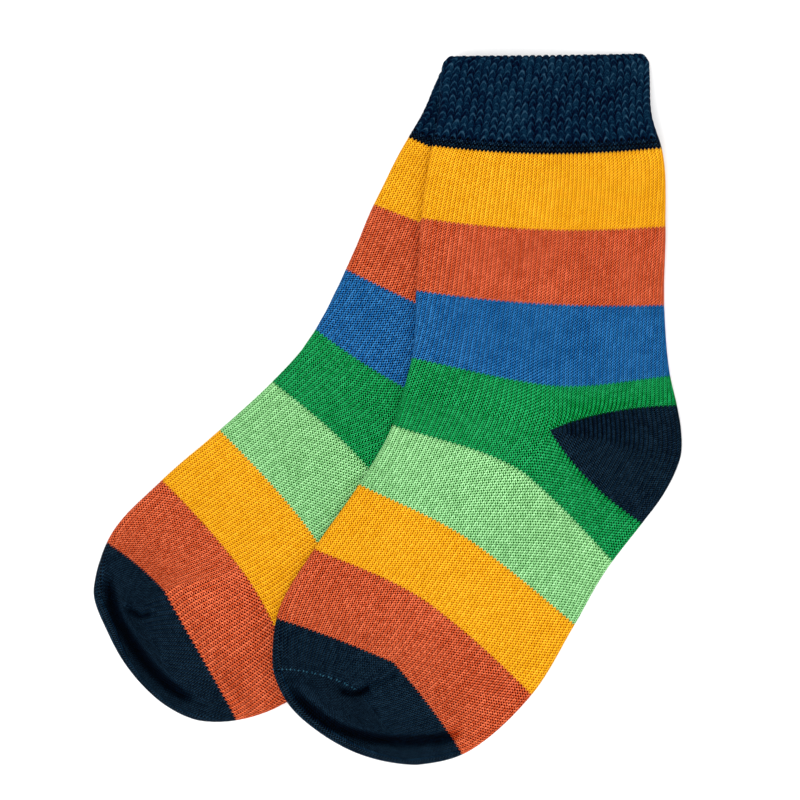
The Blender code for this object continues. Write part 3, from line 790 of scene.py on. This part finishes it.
def sheet_cells(knitting, piece, rows_of, offset):
    """A piece's outer or inner sheet: its cells' points, knit map and bake map. The offset is what
    an inner point's number is more than its outer point's."""
    corners, knit_map, bake_map = [], [], []
    for part, piece_slice in enumerate(piece):
        patch = knitting.patches[piece_slice.patch]
        rows = rows_of(piece_slice)
        number = knitting.number[piece_slice.patch][rows]
        needle, course = patch.needle[rows], patch.course[rows]
        if piece_slice.patch in ("leg", "foot"):
            number = np.concatenate([number, number[:, :1]], axis=1)
            needle = np.concatenate([needle, np.full_like(needle[:, :1], NEEDLES)], axis=1)
            course = np.concatenate([course, course[:, :1]], axis=1)
        number = number + offset
        if offset and piece_slice == Slice("leg", 0, piece_slice.last):
            lip = knitting.number["leg"][0]
            number[0] = np.append(lip, lip[0])
        across = np.broadcast_to(np.linspace(0, 1, len(rows))[:, None], number.shape)
        n, c, a = cells(needle), cells(course), cells(across)
        upper = n.mean(axis=1) < FACE
        low_needle = n.min()
        along_upper = (n - low_needle) / (FACE - low_needle)
        along_lower = (n - FACE) / (n.max() - FACE)
        if offset:
            along = np.where(upper[:, None], along_upper / 2, 0.5 + along_lower / 2)
            places = strip_map(along, a, INNER_SHARE, part, len(piece))
        else:
            on_upper = strip_map(along_upper, a, UPPER_SHARE, part, len(piece))
            on_lower = strip_map(along_lower, a, LOWER_SHARE, part, len(piece))
            places = np.where(upper[:, None, None], on_upper, on_lower)
        corners.append(cells(number))
        knit_map.append(np.stack([n, c], axis=-1))
        bake_map.append(places)
    return np.concatenate(corners), np.concatenate(knit_map), np.concatenate(bake_map)


def drop_repeats(corners):
    """Which corners of each cell to keep: at a pocket's corner a cell is a triangle."""
    return corners != np.roll(corners, 1, axis=1)


def edge_cells(corners, knit_map, outer_count, offset):
    """The strip that joins the outer and inner sheets along each free edge of the outer one."""
    following = np.roll(corners, -1, axis=1)
    start, end = corners.ravel(), following.ravel()
    span = 2 * offset + 1
    forward = start.astype(np.int64) * span + end
    backward = end.astype(np.int64) * span + start
    free = ~np.isin(forward, backward) & (start != end)
    free &= np.repeat(np.arange(len(corners)) < outer_count, 4)
    a, b = start[free], end[free]
    at_a = knit_map.reshape(-1, 2)[free]
    at_b = np.roll(knit_map, -1, axis=1).reshape(-1, 2)[free]
    quads = np.stack([b, a, a + offset, b + offset], axis=1)
    places = np.stack([at_b, at_a, at_a, at_b], axis=1)
    order = np.arange(len(quads))
    low, high = order / len(quads), (order + 1) / len(quads)
    bottom, top = EDGE_SHARE.low + SHARE_GAP, EDGE_SHARE.high - SHARE_GAP
    strip = np.stack(
        [
            np.stack([high, 0 * high + bottom], -1),
            np.stack([low, 0 * low + bottom], -1),
            np.stack([low, 0 * low + top], -1),
            np.stack([high, 0 * high + top], -1),
        ],
        axis=1,
    )
    return quads, places, strip


def fill_mesh(name, points, corners, smooth_faces, maps, values):
    """Puts cells into a new mesh, cells with a repeated corner as triangles. Values are one number a
    point, each kept as an attribute of its own name."""
    keep = drop_repeats(corners)
    whole = keep.sum(axis=1) > 2
    corners, keep, smooth_faces = corners[whole], keep[whole], smooth_faces[whole]
    used, flat = np.unique(corners[keep], return_inverse=True)
    total = keep.sum(axis=1)
    mesh = bpy.data.meshes.new(name)
    mesh.vertices.add(len(used))
    mesh.vertices.foreach_set("co", (points[used] * MM).astype(np.float32).ravel())
    mesh.loops.add(len(flat))
    mesh.loops.foreach_set("vertex_index", flat.ravel().astype(np.int32))
    mesh.polygons.add(len(total))
    mesh.polygons.foreach_set("loop_start", np.concatenate([[0], np.cumsum(total)[:-1]]).astype(np.int32))
    mesh.polygons.foreach_set("use_smooth", smooth_faces)
    for map_name, places in maps.items():
        layer = mesh.uv_layers.new(name=map_name)
        layer.uv.foreach_set("vector", places[whole][keep].astype(np.float32).ravel())
    mesh.update(calc_edges=True)
    for value_name, value in values.items():
        layer = mesh.attributes.new(value_name, "FLOAT", "POINT")
        layer.data.foreach_set("value", value[used].astype(np.float32))
    return mesh


def add_piece(sock, name, yarn, piece, flat):
    """Makes one knitted piece: its outer sheet, a coarser inner sheet one wall inside it, and the
    strip that joins their edges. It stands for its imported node."""
    knitting = KNITTED.get(sock.name)
    if knitting is None:
        raise RuntimeError("the tubes aren't worked out: run Lay Tubes first")
    offset = knitting.count

    def outer_rows(s):
        return np.arange(s.first, s.last + 1)

    def inner_rows(s):
        first = len(LIP_TURNS) if s.patch == "leg" and s.first == 0 else s.first
        steps = max(1, round((s.last - first) / INNER_EVERY))
        return np.unique(np.round(np.linspace(first, s.last, steps + 1)).astype(int))

    outer, outer_knit, outer_bake = sheet_cells(knitting, piece, outer_rows, 0)
    inner, inner_knit, inner_bake = sheet_cells(knitting, piece, inner_rows, offset)
    inner, inner_knit, inner_bake = (x[:, ::-1] for x in (inner, inner_knit, inner_bake))
    both = np.concatenate([outer, inner])
    both_knit = np.concatenate([outer_knit, inner_knit])
    edge, edge_knit, edge_bake = edge_cells(both, both_knit, len(outer), offset)
    corners = np.concatenate([both, edge])
    maps = {
        "knit": np.concatenate([both_knit, edge_knit]),
        "OFBake": np.concatenate([outer_bake, inner_bake, edge_bake]),
    }
    smooth_faces = np.arange(len(corners)) < len(both)
    points = np.concatenate([knitting.points, knitting.inner])
    node = f"{sock.name}_{name}"
    # the fold value carries the creases' painted shade to the material
    values = {"stretch": np.tile(knitting.stretch, 2), "fold": np.tile(knitting.fold, 2)}
    mesh = fill_mesh(f"{node}_knit", points, corners, smooth_faces, maps, values)
    mesh.materials.append(yarn_material(yarn, name))
    obj = bpy.data.objects.new(f"{node}_knit", mesh)
    bpy.context.scene.collection.objects.link(obj)
    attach(obj, "root")
    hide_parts(node)
    return obj


def band_size(sock, part, first, last):
    """A band laid out flat: all round its tube, and its mean length down the wales."""
    middle = (first + last) / 2
    ahead, behind = half_widths(sock, part, middle)
    folds = (np.pi - 2) * 2 * half_height(middle)
    lengths = []
    for u in (0.0, 0.25, 0.5, 0.75, 1.0):
        line = course_line(sock, part, np.linspace(first, last, OUTLINE_STEPS), u)
        lengths.append(np.linalg.norm(np.diff(line, axis=0), axis=1).sum())
    return 2 * (ahead + behind) + folds, float(np.mean(lengths)), None


def surface_area(patch, first, last):
    """The area of rows first to last of a patch, from the cross products of its cells' diagonals."""
    c = cells(patch.places[first : last + 1])
    return np.linalg.norm(np.cross(c[:, 2] - c[:, 0], c[:, 3] - c[:, 1]), axis=-1).sum() / 2


def row_at(part, course):
    """The row of the leg's or foot's patch at a course."""
    if part == "foot":
        return int(np.searchsorted(FOOT_COURSES, course))
    return len(LIP_TURNS) + int(np.searchsorted(LEG_COURSES, course)) if course > 0 else 0


GRAIN_RINGS = 5
GRAIN_SIDES = 8


def grain(ring, side):
    """A round grain of radius 1 as a function of ring, from pole to pole in half turns, and side, in
    whole turns: a circle of the latitude's cosine at the latitude's sine."""
    latitude = np.pi * (ring - 0.5)
    longitude = 2 * np.pi * side
    x, y = np.cos(latitude) * np.cos(longitude), np.cos(latitude) * np.sin(longitude)
    return np.stack([x, y, np.sin(latitude) + 0 * longitude], axis=-1)


def add_seam(sock, sizes):
    """Makes the linked seam: one grain over each needle of the last course, that lies along its wale.
    Every second one is a little longer, and they lean by turns."""
    knitting = KNITTED[sock.name]
    patch = knitting.patches["foot"]
    instep = (RING_NEEDLES % 1.5 == 0.5) & (np.abs(RING_NEEDLES - FACE) > SIDE)
    middle = knitting.points[knitting.number["foot"][-1, instep]]
    run, out = patch.run[-1, instep], patch.out[-1, instep]
    order = np.arange(len(middle))
    lean = 0.35 * np.where(order % 2 == 0, 1, -1)[:, None]
    across = unit(np.cross(out, run))
    run = unit(run + lean * across)
    across = np.cross(out, run)
    long = sizes.seam_stitch / MM * (0.5 + 0.06 * np.sin(2.4 * order))[:, None, None]
    wide = sizes.seam_stitch / MM * 0.27
    ring, side = np.meshgrid(
        np.linspace(0, 1, GRAIN_RINGS + 1), np.arange(GRAIN_SIDES) / GRAIN_SIDES, indexing="ij"
    )
    shape = grain(ring, side).reshape(-1, 3)
    points = (
        middle[:, None]
        + (out * sock.seam_rise)[:, None]
        + run[:, None] * shape[None, :, 2:] * long
        + across[:, None] * shape[None, :, :1] * wide
        + out[:, None] * shape[None, :, 1:2] * wide
    ).reshape(-1, 3)
    grid = np.arange((GRAIN_RINGS + 1) * GRAIN_SIDES).reshape(GRAIN_RINGS + 1, GRAIN_SIDES)
    grid[0], grid[-1] = grid[0, 0], grid[-1, 0]
    grid = np.concatenate([grid, grid[:, :1]], axis=1)
    faces = cells(grid)[:, ::-1]
    corners = (faces[None] + order[:, None, None] * len(shape)).reshape(-1, 4)
    place = np.stack([corners % 7.0, corners // len(shape)], axis=-1)
    name = f"{sock.name}_toe_seam"
    mesh = fill_mesh(name, points, corners, np.ones(len(corners), bool), {"knit": place}, {})
    mesh.materials.append(seam_material())
    obj = bpy.data.objects.new(name, mesh)
    bpy.context.scene.collection.objects.link(obj)
    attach(obj, "root")


def seam_material():
    """The linking yarn: navy, tighter and so a little lighter than the knitting, with a fine nap."""
    name = "linking_yarn"
    if name in bpy.data.materials:
        return bpy.data.materials[name]
    desk = Desk(name)
    place = desk.add("ShaderNodeTexCoord").outputs["Object"]
    nap = desk.noise(place, 1800.0, 2.0)
    amount = desk.calc("MULTIPLY_ADD", nap, 0.4, -0.2)
    desk.feed(desk.shader.inputs["Base Color"], toned(desk, "linking", amount))
    desk.shader.inputs["Roughness"].default_value = 0.8
    desk.shader.inputs["Specular IOR Level"].default_value = 0.1
    return desk.material


# ---- yarns ----

GAMMA = 2.2  # between a dye's share of light and how light it looks
# How strongly each yarn's tone swings: its painted shade between the stitches, its painted highlight on their tops,
# and its uneven tone
SHADE_AND_MOTTLE = {
    "navy": 0.92,
    "yellow": 0.85,
    "rust": 1.35,
    "blue": 1.35,
    "green": 1.2,
    "mint": 1.2,
    "linking": 1.0,
}
CREASE_PAINTED_SHADE = 0.22  # painted shade: how much of the tone a crease takes away
TAKEN = 0.1  # how far a colour that a dye takes whole is from showing on its lightest tops


class Desk:
    """Adds nodes to one material's tree and links them."""

    def __init__(self, name):
        self.material = bpy.data.materials.new(name)
        self.material.use_nodes = True
        self.tree = self.material.node_tree
        self.shader = self.tree.nodes["Principled BSDF"]

    def feed(self, socket, value):
        if isinstance(value, bpy.types.NodeSocket):
            self.tree.links.new(value, socket)
        else:
            socket.default_value = value

    def add(self, kind, values=(), **settings):
        node = self.tree.nodes.new(kind)
        for name, value in settings.items():
            setattr(node, name, value)
        for socket, value in zip(node.inputs, values):
            if value is not None:
                self.feed(socket, value)
        return node

    def calc(self, operation, *values, clamp=False):
        return self.add("ShaderNodeMath", values, operation=operation, use_clamp=clamp).outputs[0]

    def mix(self, share, low, high):
        node = self.tree.nodes.new("ShaderNodeMix")
        node.data_type = "RGBA"
        inputs = [i for i in node.inputs if i.enabled]
        for socket, value in zip(inputs, (share, low, high)):
            self.feed(socket, value)
        return next(o for o in node.outputs if o.enabled)

    def noise(self, vector, scale, detail):
        node = self.add("ShaderNodeTexNoise", noise_dimensions="3D")
        self.feed(node.inputs["Vector"], vector)
        node.inputs["Scale"].default_value = scale
        node.inputs["Detail"].default_value = detail
        return node.outputs["Fac"]

    def speckle(self, x, y):
        place = self.add("ShaderNodeCombineXYZ", (x, y, 0.0)).outputs[0]
        node = self.add("ShaderNodeTexWhiteNoise", noise_dimensions="2D")
        self.feed(node.inputs["Vector"], place)
        return node.outputs["Value"]


def cosine(desk, x):
    """The cosine of x turns, from 0 to 1: 1 at whole numbers and 0 halfway between them."""
    return desk.calc("MULTIPLY_ADD", desk.calc("COSINE", desk.calc("MULTIPLY", x, 2 * math.pi)), 0.5, 0.5)


LEG_SLANT = 0.3  # how many needles a stitch's leg leans over its course


def plain_stitch(desk, needle, course, stretch):
    """The tone of plain knitting, 0 to 1, painted light and shade: one leg of each stitch runs up the wale into the
    next as a bright painted highlight, and the other is a short slanted stroke with a hole of painted shade above and
    below it.
    Where the cloth is stretched across, the grooves between wales open and take more painted shade."""
    slant = desk.calc("MULTIPLY_ADD", desk.calc("FRACT", course), LEG_SLANT, -LEG_SLANT / 2)
    needle = desk.calc("ADD", needle, slant)
    # gap and strokes: painted shade in the holes between courses and painted highlight on the legs, both strongest
    # along the slanted strokes
    gap = desk.calc("SUBTRACT", 0.65, cosine(desk, course))
    strokes = desk.calc("MULTIPLY_ADD", cosine(desk, desk.calc("ADD", needle, 0.2)), 1.0, 0.15)
    strokes = desk.calc("MULTIPLY", strokes, desk.calc("MULTIPLY_ADD", stretch, -0.35, 1.0))
    # painted shade in the grooves between wales, deeper where stretched, and between each wale's two legs
    groove_shade = desk.calc("POWER", cosine(desk, needle), 3.0)
    depth = desk.calc("MULTIPLY_ADD", stretch, 0.7, 0.2)
    split = desk.calc("SUBTRACT", cosine(desk, desk.calc("MULTIPLY", needle, 2.0)), 0.3)
    between = desk.calc("MULTIPLY", split, desk.calc("MULTIPLY_ADD", stretch, -0.5, 0.6))
    tone = desk.calc("SUBTRACT", 0.75, desk.calc("MULTIPLY", gap, strokes))
    tone = desk.calc("SUBTRACT", tone, desk.calc("MULTIPLY", groove_shade, depth))
    return desk.calc("SUBTRACT", tone, between)


def rib_stitch(desk, needle, course):
    """The tone of the mock rib, 0 to 1, painted light and shade: each long stitch is a narrow arch of painted
    highlight on ground of painted shade, two needles wide and two courses high, and its neighbours are a course
    apart. The grooves between ribs take a little more painted shade."""
    wale = desk.calc("MULTIPLY", needle, 0.5)
    chain = desk.calc("MULTIPLY", desk.calc("ADD", course, desk.calc("FLOOR", wale)), 0.5)
    # painted highlight along each arch, and painted shade in the grooves between the ribs
    arch = desk.calc("POWER", cosine(desk, chain), 5.0)
    groove_shade = desk.calc("POWER", cosine(desk, wale), 3.0)
    tone = desk.calc("MULTIPLY_ADD", arch, 0.17, 0.71)
    return desk.calc("MULTIPLY", tone, desk.calc("SUBTRACT", 1.0, desk.calc("MULTIPLY", groove_shade, 0.12)))


def toned(desk, yarn, amount):
    """A yarn's dye made lighter or darker by the same amount in each colour, as the eye sees them, and
    scaled for each yarn by how strongly its tone swings: painted shade, painted highlight and uneven tone."""
    seen = np.array(getattr(bpy.context.scene.sock_dyes, yarn)) ** (1 / GAMMA)
    seen = seen * (1 + TAKEN) - TAKEN
    change = desk.calc("MULTIPLY", amount, SHADE_AND_MOTTLE[yarn])
    lit = desk.add("ShaderNodeVectorMath", (tuple(seen), change), operation="ADD").outputs[0]
    kept = desk.add("ShaderNodeVectorMath", (lit, (0.0, 0.0, 0.0)), operation="MAXIMUM").outputs[0]
    return desk.add("ShaderNodeGamma", (kept, GAMMA)).outputs[0]


def yarn_material(yarn, part):
    """Knitted cotton of one yarn. Its colour runs from painted shade between the stitches to painted highlight on
    their tops, takes painted shade in deep creases, and is uneven from stitch to stitch, along the wales and over the
    piece, with a fine nap."""
    ribbed = part == "cuff"
    name = f"{yarn}_rib_cotton" if ribbed else f"{yarn}_cotton"
    if name in bpy.data.materials:
        return bpy.data.materials[name]
    dyes = bpy.context.scene.sock_dyes
    colour = getattr(dyes, yarn)
    desk = Desk(name)
    split = desk.add("ShaderNodeSeparateXYZ", (desk.add("ShaderNodeUVMap", uv_map="knit").outputs[0],))
    needle, course = split.outputs[0], split.outputs[1]
    stretch = desk.add("ShaderNodeAttribute", attribute_name="stretch").outputs["Fac"]
    stitches = plain_stitch(desk, needle, course, stretch)
    if ribbed:
        share = desk.calc("DIVIDE", desk.calc("SUBTRACT", CUFF_STITCHES - 1.5, course), 1.5, clamp=True)
        plain = desk.calc("MULTIPLY", stitches, desk.calc("MULTIPLY_ADD", share, -0.85, 0.85))
        stitches = desk.calc("MULTIPLY_ADD", rib_stitch(desk, needle, course), share, plain)
    place = desk.add("ShaderNodeTexCoord").outputs["Object"]
    own = desk.speckle(desk.calc("FLOOR", needle), desk.calc("FLOOR", desk.calc("ADD", course, 0.5)))
    along = desk.calc("MULTIPLY", course, 0.12)
    streak = desk.noise(desk.add("ShaderNodeCombineXYZ", (needle, along, 0.0)).outputs[0], 0.8, 2.0)
    cloud = desk.noise(place, 45.0, 2.0)
    nap = desk.noise(place, 2600.0, 2.0)
    tone = stitches
    for source, share in ((own, 0.14), (streak, 0.16), (cloud, 0.14), (nap, 0.35)):
        tone = desk.calc("MULTIPLY_ADD", desk.calc("SUBTRACT", source, 0.5), share, tone)
    tone = desk.calc("ADD", tone, 0.0, clamp=True)
    # Painted shade in the creases: the fold attribute takes tone away
    fold = desk.add("ShaderNodeAttribute", attribute_name="fold").outputs["Fac"]
    tone = desk.calc("MULTIPLY_ADD", fold, -CREASE_PAINTED_SHADE, tone)
    # the tone becomes the painted shade between stitches and the painted highlight on their tops
    amount = desk.calc("MULTIPLY_ADD", tone, dyes.groove_painted_shade + dyes.top_painted_highlight, -dyes.groove_painted_shade)
    desk.feed(desk.shader.inputs["Base Color"], toned(desk, yarn, amount))
    desk.shader.inputs["Roughness"].default_value = 0.9
    desk.shader.inputs["Specular IOR Level"].default_value = 0.02
    desk.shader.inputs["Sheen Weight"].default_value = 0.15
    desk.shader.inputs["Sheen Roughness"].default_value = 0.4
    desk.shader.inputs["Sheen Tint"].default_value = (*colour, 1.0)
    bump = desk.add("ShaderNodeBump")
    bump.inputs["Strength"].default_value = 0.7
    bump.inputs["Distance"].default_value = 0.00018
    desk.feed(bump.inputs["Height"], desk.calc("MULTIPLY_ADD", nap, 0.2, stitches))
    desk.feed(desk.shader.inputs["Normal"], bump.outputs[0])
    return desk.material


# ---- properties ----


def length(name, description, default, low, high):
    return FloatProperty(
        name=name, description=description, default=default, min=low, max=high, unit="LENGTH", precision=5
    )


def dye(name, description, default):
    return FloatVectorProperty(
        name=name, description=description, default=default, min=0, max=1, size=3, subtype="COLOR"
    )


class SockSizes(bpy.types.PropertyGroup):
    """How far the stitches stand in and out, and how long their points are."""

    stitch_height: length("Wale height", "How far a wale stands up", 0.0001, 0, 0.001)
    rib_height: length("Rib height", "How far the cuff's ribs stand up", 0.00009, 0, 0.001)
    rib_bulge: length("Rib bulge", "How much fuller a rib is in each stitch", 0.00004, 0, 0.001)
    tooth: length("Stitch point", "Length of a stitch's point along its wale", 0.0008, 0, 0.003)
    rib_tooth: length("Rib point", "Length of a rib stitch's point", 0.0017, 0, 0.003)
    seam_stitch: length("Seam stitch", "Length of a stitch of the toe's seam", 0.0007, 0, 0.003)


class SockDyes(bpy.types.PropertyGroup):
    """The yarns' colours, and how much painted shade falls between stitches and painted highlight on their tops."""

    navy: dye("Navy", "Cuff, heel and toe", (0.0004, 0.0074, 0.0190))
    yellow: dye("Yellow", "First leg band and second foot band", (0.6409, 0.3052, 0.006562))
    rust: dye("Rust", "Second leg band and last foot band", (0.4037, 0.05361, 0.009502))
    blue: dye("Blue", "Third leg band", (0.0006192, 0.06781, 0.2192))
    green: dye("Green", "Ankle", (3.981e-05, 0.1829, 0.03708))
    linking: dye("Linking yarn", "The toes' seams", (0.03, 0.09, 0.13))
    mint: dye("Mint", "First foot band", (0.1895, 0.4301, 0.1741))
    # Painted shade between the stitches, and painted highlight on their tops
    groove_painted_shade: FloatProperty(
        name="Groove depth", description="How much darker a dye looks between stitches", default=0.36, min=0, max=1
    )
    top_painted_highlight: FloatProperty(
        name="Top light", description="How much lighter a dye looks on the stitches' tops", default=0.27, min=0, max=1
    )


class SockStage(bpy.types.PropertyGroup):
    """The camera and the lights."""

    field: length("Field", "Width of the view at the surface", 0.24, 0.1, 1)
    camera_height: length("Camera height", "Height of the camera over the surface", 1.8, 0.5, 5)
    key_power: FloatProperty(name="Key light", description="Power of the key light", default=10.0, unit="POWER")
    sky: FloatProperty(name="Sky", description="Brightness of the light all round", default=1.5, min=0, max=3)


# ---- operators ----


class SOCKS_OT_lay_tubes(bpy.types.Operator):
    """Work out every point of both tubes, as they lie"""

    bl_idname = "socks.lay_tubes"
    bl_label = "Lay Tubes"

    def execute(self, context):
        for sock in SOCKS:
            KNITTED[sock.name] = knit(sock, context.scene.sock_sizes)
        return {"FINISHED"}


class SOCKS_OT_knit_cuffs(bpy.types.Operator):
    """Knit the two mock-rib cuffs"""

    bl_idname = "socks.knit_cuffs"
    bl_label = "Knit Cuffs"

    def execute(self, context):
        for sock in SOCKS:
            piece = [Slice("leg", 0, row_at("leg", CUFF_END))]
            add_piece(sock, "cuff", "navy", piece, band_size(sock, "leg", 0, CUFF_END))
        return {"FINISHED"}


class SOCKS_OT_knit_bands(bpy.types.Operator):
    """Knit the plain striped bands of both legs and feet"""

    bl_idname = "socks.knit_bands"
    bl_label = "Knit Bands"

    def execute(self, context):
        for sock in SOCKS:
            for part, bands in (("leg", LEG_BANDS), ("foot", FOOT_BANDS)):
                for band in bands:
                    piece = [Slice(part, row_at(part, band.first), row_at(part, band.last))]
                    size = band_size(sock, part, band.first, band.last)
                    add_piece(sock, band.name, band.yarn, piece, size)
        return {"FINISHED"}


class SOCKS_OT_knit_ankles(bpy.types.Operator):
    """Knit the green ankles, whose back halves are split by the heels"""

    bl_idname = "socks.knit_ankles"
    bl_label = "Knit Ankles"

    def execute(self, context):
        for sock in SOCKS:
            leg_rows = row_at("leg", ANKLE.first), row_at("leg", HEEL)
            foot_rows = 0, row_at("foot", ANKLE.last)
            piece = [Slice("leg", *leg_rows), Slice("foot", *foot_rows)]
            above = band_size(sock, "leg", ANKLE.first, HEEL)
            below = band_size(sock, "foot", HEEL, ANKLE.last)
            size = max(above[0], below[0]), above[1] + below[1], None
            add_piece(sock, ANKLE.name, ANKLE.yarn, piece, size)
        return {"FINISHED"}


def pocket_size(sock, which):
    """A pocket laid out flat: half the tube's needles wide, twice its short rows long, and its own
    area, which the narrowing makes less than that."""
    patch = KNITTED[sock.name].patches[which]
    area = surface_area(patch, 0, len(patch.course) - 1)
    edge = pocket_edge(sock, which, np.linspace(0, 1, OUTLINE_STEPS))
    round_edge = np.linalg.norm(np.diff(edge, axis=0), axis=1).sum()
    corner = np.array(sock.foot[0].side if which == "heel" else sock.foot[-1].side)
    width = 2 * np.linalg.norm(edge - corner, axis=1).max()
    return width, round_edge, area


class SOCKS_OT_knit_heels(bpy.types.Operator):
    """Knit the two heel pockets"""

    bl_idname = "socks.knit_heels"
    bl_label = "Knit Heels"

    def execute(self, context):
        for sock in SOCKS:
            if sock.name not in KNITTED:
                raise RuntimeError("the tubes aren't worked out: run Lay Tubes first")
            rows = len(KNITTED[sock.name].patches["heel"].course) - 1
            width, long, area = pocket_size(sock, "heel")
            add_piece(sock, "heel", "navy", [Slice("heel", 0, rows)], (width, long, area * MM * MM))
        return {"FINISHED"}


class SOCKS_OT_knit_toes(bpy.types.Operator):
    """Knit the two toe pockets with the whole courses before them"""

    bl_idname = "socks.knit_toes"
    bl_label = "Knit Toes"

    def execute(self, context):
        for sock in SOCKS:
            if sock.name not in KNITTED:
                raise RuntimeError("the tubes aren't worked out: run Lay Tubes first")
            first, last = row_at("foot", TOE), row_at("foot", SEAM)
            rows = len(KNITTED[sock.name].patches["toe"].course) - 1
            piece = [Slice("foot", first, last), Slice("toe", 0, rows)]
            _, pocket_long, pocket_area = pocket_size(sock, "toe")
            width, before, _ = band_size(sock, "foot", TOE, SEAM)
            area = surface_area(KNITTED[sock.name].patches["foot"], first, last) + pocket_area
            add_piece(sock, "toe", "navy", piece, (width, before + pocket_long, area * MM * MM))
        return {"FINISHED"}


class SOCKS_OT_link_seams(bpy.types.Operator):
    """Link the toes' seams: a row of small stitches from corner to corner over the front fold"""

    bl_idname = "socks.link_seams"
    bl_label = "Link Toe Seams"

    def execute(self, context):
        for sock in SOCKS:
            if sock.name not in KNITTED:
                raise RuntimeError("the tubes aren't worked out: run Lay Tubes first")
            add_seam(sock, context.scene.sock_sizes)
        return {"FINISHED"}


class SOCKS_OT_set_stage(bpy.types.Operator):
    """Set the floor, the lights and the camera that looks straight down"""

    bl_idname = "socks.set_stage"
    bl_label = "Set Stage"

    def execute(self, context):
        stage = context.scene.sock_stage
        add_floor()
        add_lights(context.scene, stage)
        add_camera(context.scene, stage)
        return {"FINISHED"}


# ---- stage ----

FLOOR_HALF = 3.0
FRAME_CENTRE = (3.75, 2.55)  # the middle of the view, in the tables' places
SENSOR = 36.0
KEY_PLACE = (-0.5, -0.65, 1.2)  # metres


def add_floor():
    """A plain pale board under the socks, whose top touches them."""
    mesh = bpy.data.meshes.new("floor")
    h = FLOOR_HALF
    mesh.from_pydata([(-h, -h, 0), (h, -h, 0), (h, h, 0), (-h, h, 0)], [], [(0, 1, 2, 3)])
    floor = bpy.data.objects.new("floor", mesh)
    bpy.context.scene.collection.objects.link(floor)
    desk = Desk("pale_board")
    place = desk.add("ShaderNodeTexCoord").outputs["Object"]
    grain = desk.noise(place, 8.0, 2.0)
    desk.feed(desk.shader.inputs["Base Color"], desk.mix(grain, (0.93, 0.93, 0.93, 1), (0.95, 0.95, 0.95, 1)))
    desk.shader.inputs["Roughness"].default_value = 0.9
    desk.shader.inputs["Specular IOR Level"].default_value = 0.0
    mesh.materials.append(desk.material)


def add_lights(scene, stage):
    """An even white sky, and one broad key light."""
    world = bpy.data.worlds.new("studio")
    world.use_nodes = True
    sky = world.node_tree.nodes["Background"]
    sky.inputs["Color"].default_value = (1, 1, 1, 1)
    sky.inputs["Strength"].default_value = stage.sky
    scene.world = world
    light = bpy.data.lights.new("key", "AREA")
    light.shape = "DISK"
    light.size = 1.2
    light.energy = stage.key_power
    key = bpy.data.objects.new("key", light)
    key.location = KEY_PLACE
    x, y, z = KEY_PLACE
    key.rotation_euler = (math.atan2(math.hypot(x, y), z), 0, math.atan2(x, -y))
    scene.collection.objects.link(key)
    scene.view_settings.view_transform = "Standard"


def add_camera(scene, stage):
    """A long lens that looks straight down, so that the pair is seen without perspective."""
    lens = bpy.data.cameras.new("camera")
    lens.sensor_width = SENSOR
    lens.lens = SENSOR * stage.camera_height / stage.field
    lens.clip_end = 20
    camera = bpy.data.objects.new("camera", lens)
    x, y = (np.array(FRAME_CENTRE) - PAIR_CENTRE[:2]) * MM
    camera.location = (x, y, stage.camera_height)
    scene.collection.objects.link(camera)
    scene.camera = camera


class SOCKS_PT_panel(bpy.types.Panel):
    """The steps that knit the socks, and what they read"""

    bl_label = "Striped Ankle Socks"
    bl_space_type = "VIEW_3D"
    bl_region_type = "UI"
    bl_category = "Socks"

    def draw(self, context):
        column = self.layout.column()
        for step in STEPS:
            column.operator(step.bl_idname)
        for group in (context.scene.sock_sizes, context.scene.sock_dyes, context.scene.sock_stage):
            for name in group.bl_rna.properties.keys():
                if name not in ("rna_type", "name"):
                    column.prop(group, name)


STEPS = (
    SOCKS_OT_lay_tubes,
    SOCKS_OT_knit_cuffs,
    SOCKS_OT_knit_bands,
    SOCKS_OT_knit_ankles,
    SOCKS_OT_knit_heels,
    SOCKS_OT_knit_toes,
    SOCKS_OT_link_seams,
    SOCKS_OT_set_stage,
)
GROUPS = {"sock_sizes": SockSizes, "sock_dyes": SockDyes, "sock_stage": SockStage}


def register():
    for cls in (*GROUPS.values(), *STEPS, SOCKS_PT_panel):
        bpy.utils.register_class(cls)
    for name, group in GROUPS.items():
        setattr(bpy.types.Scene, name, PointerProperty(type=group))


def unregister():
    for name in GROUPS:
        delattr(bpy.types.Scene, name)
    for cls in reversed((*GROUPS.values(), *STEPS, SOCKS_PT_panel)):
        bpy.utils.unregister_class(cls)


def main():
    register()
    bpy.ops.socks.lay_tubes()
    bpy.ops.socks.knit_cuffs()
    bpy.ops.socks.knit_bands()
    bpy.ops.socks.knit_ankles()
    bpy.ops.socks.knit_heels()
    bpy.ops.socks.knit_toes()
    bpy.ops.socks.link_seams()
    bpy.ops.socks.set_stage()


if __name__ == "__main__":
    main()
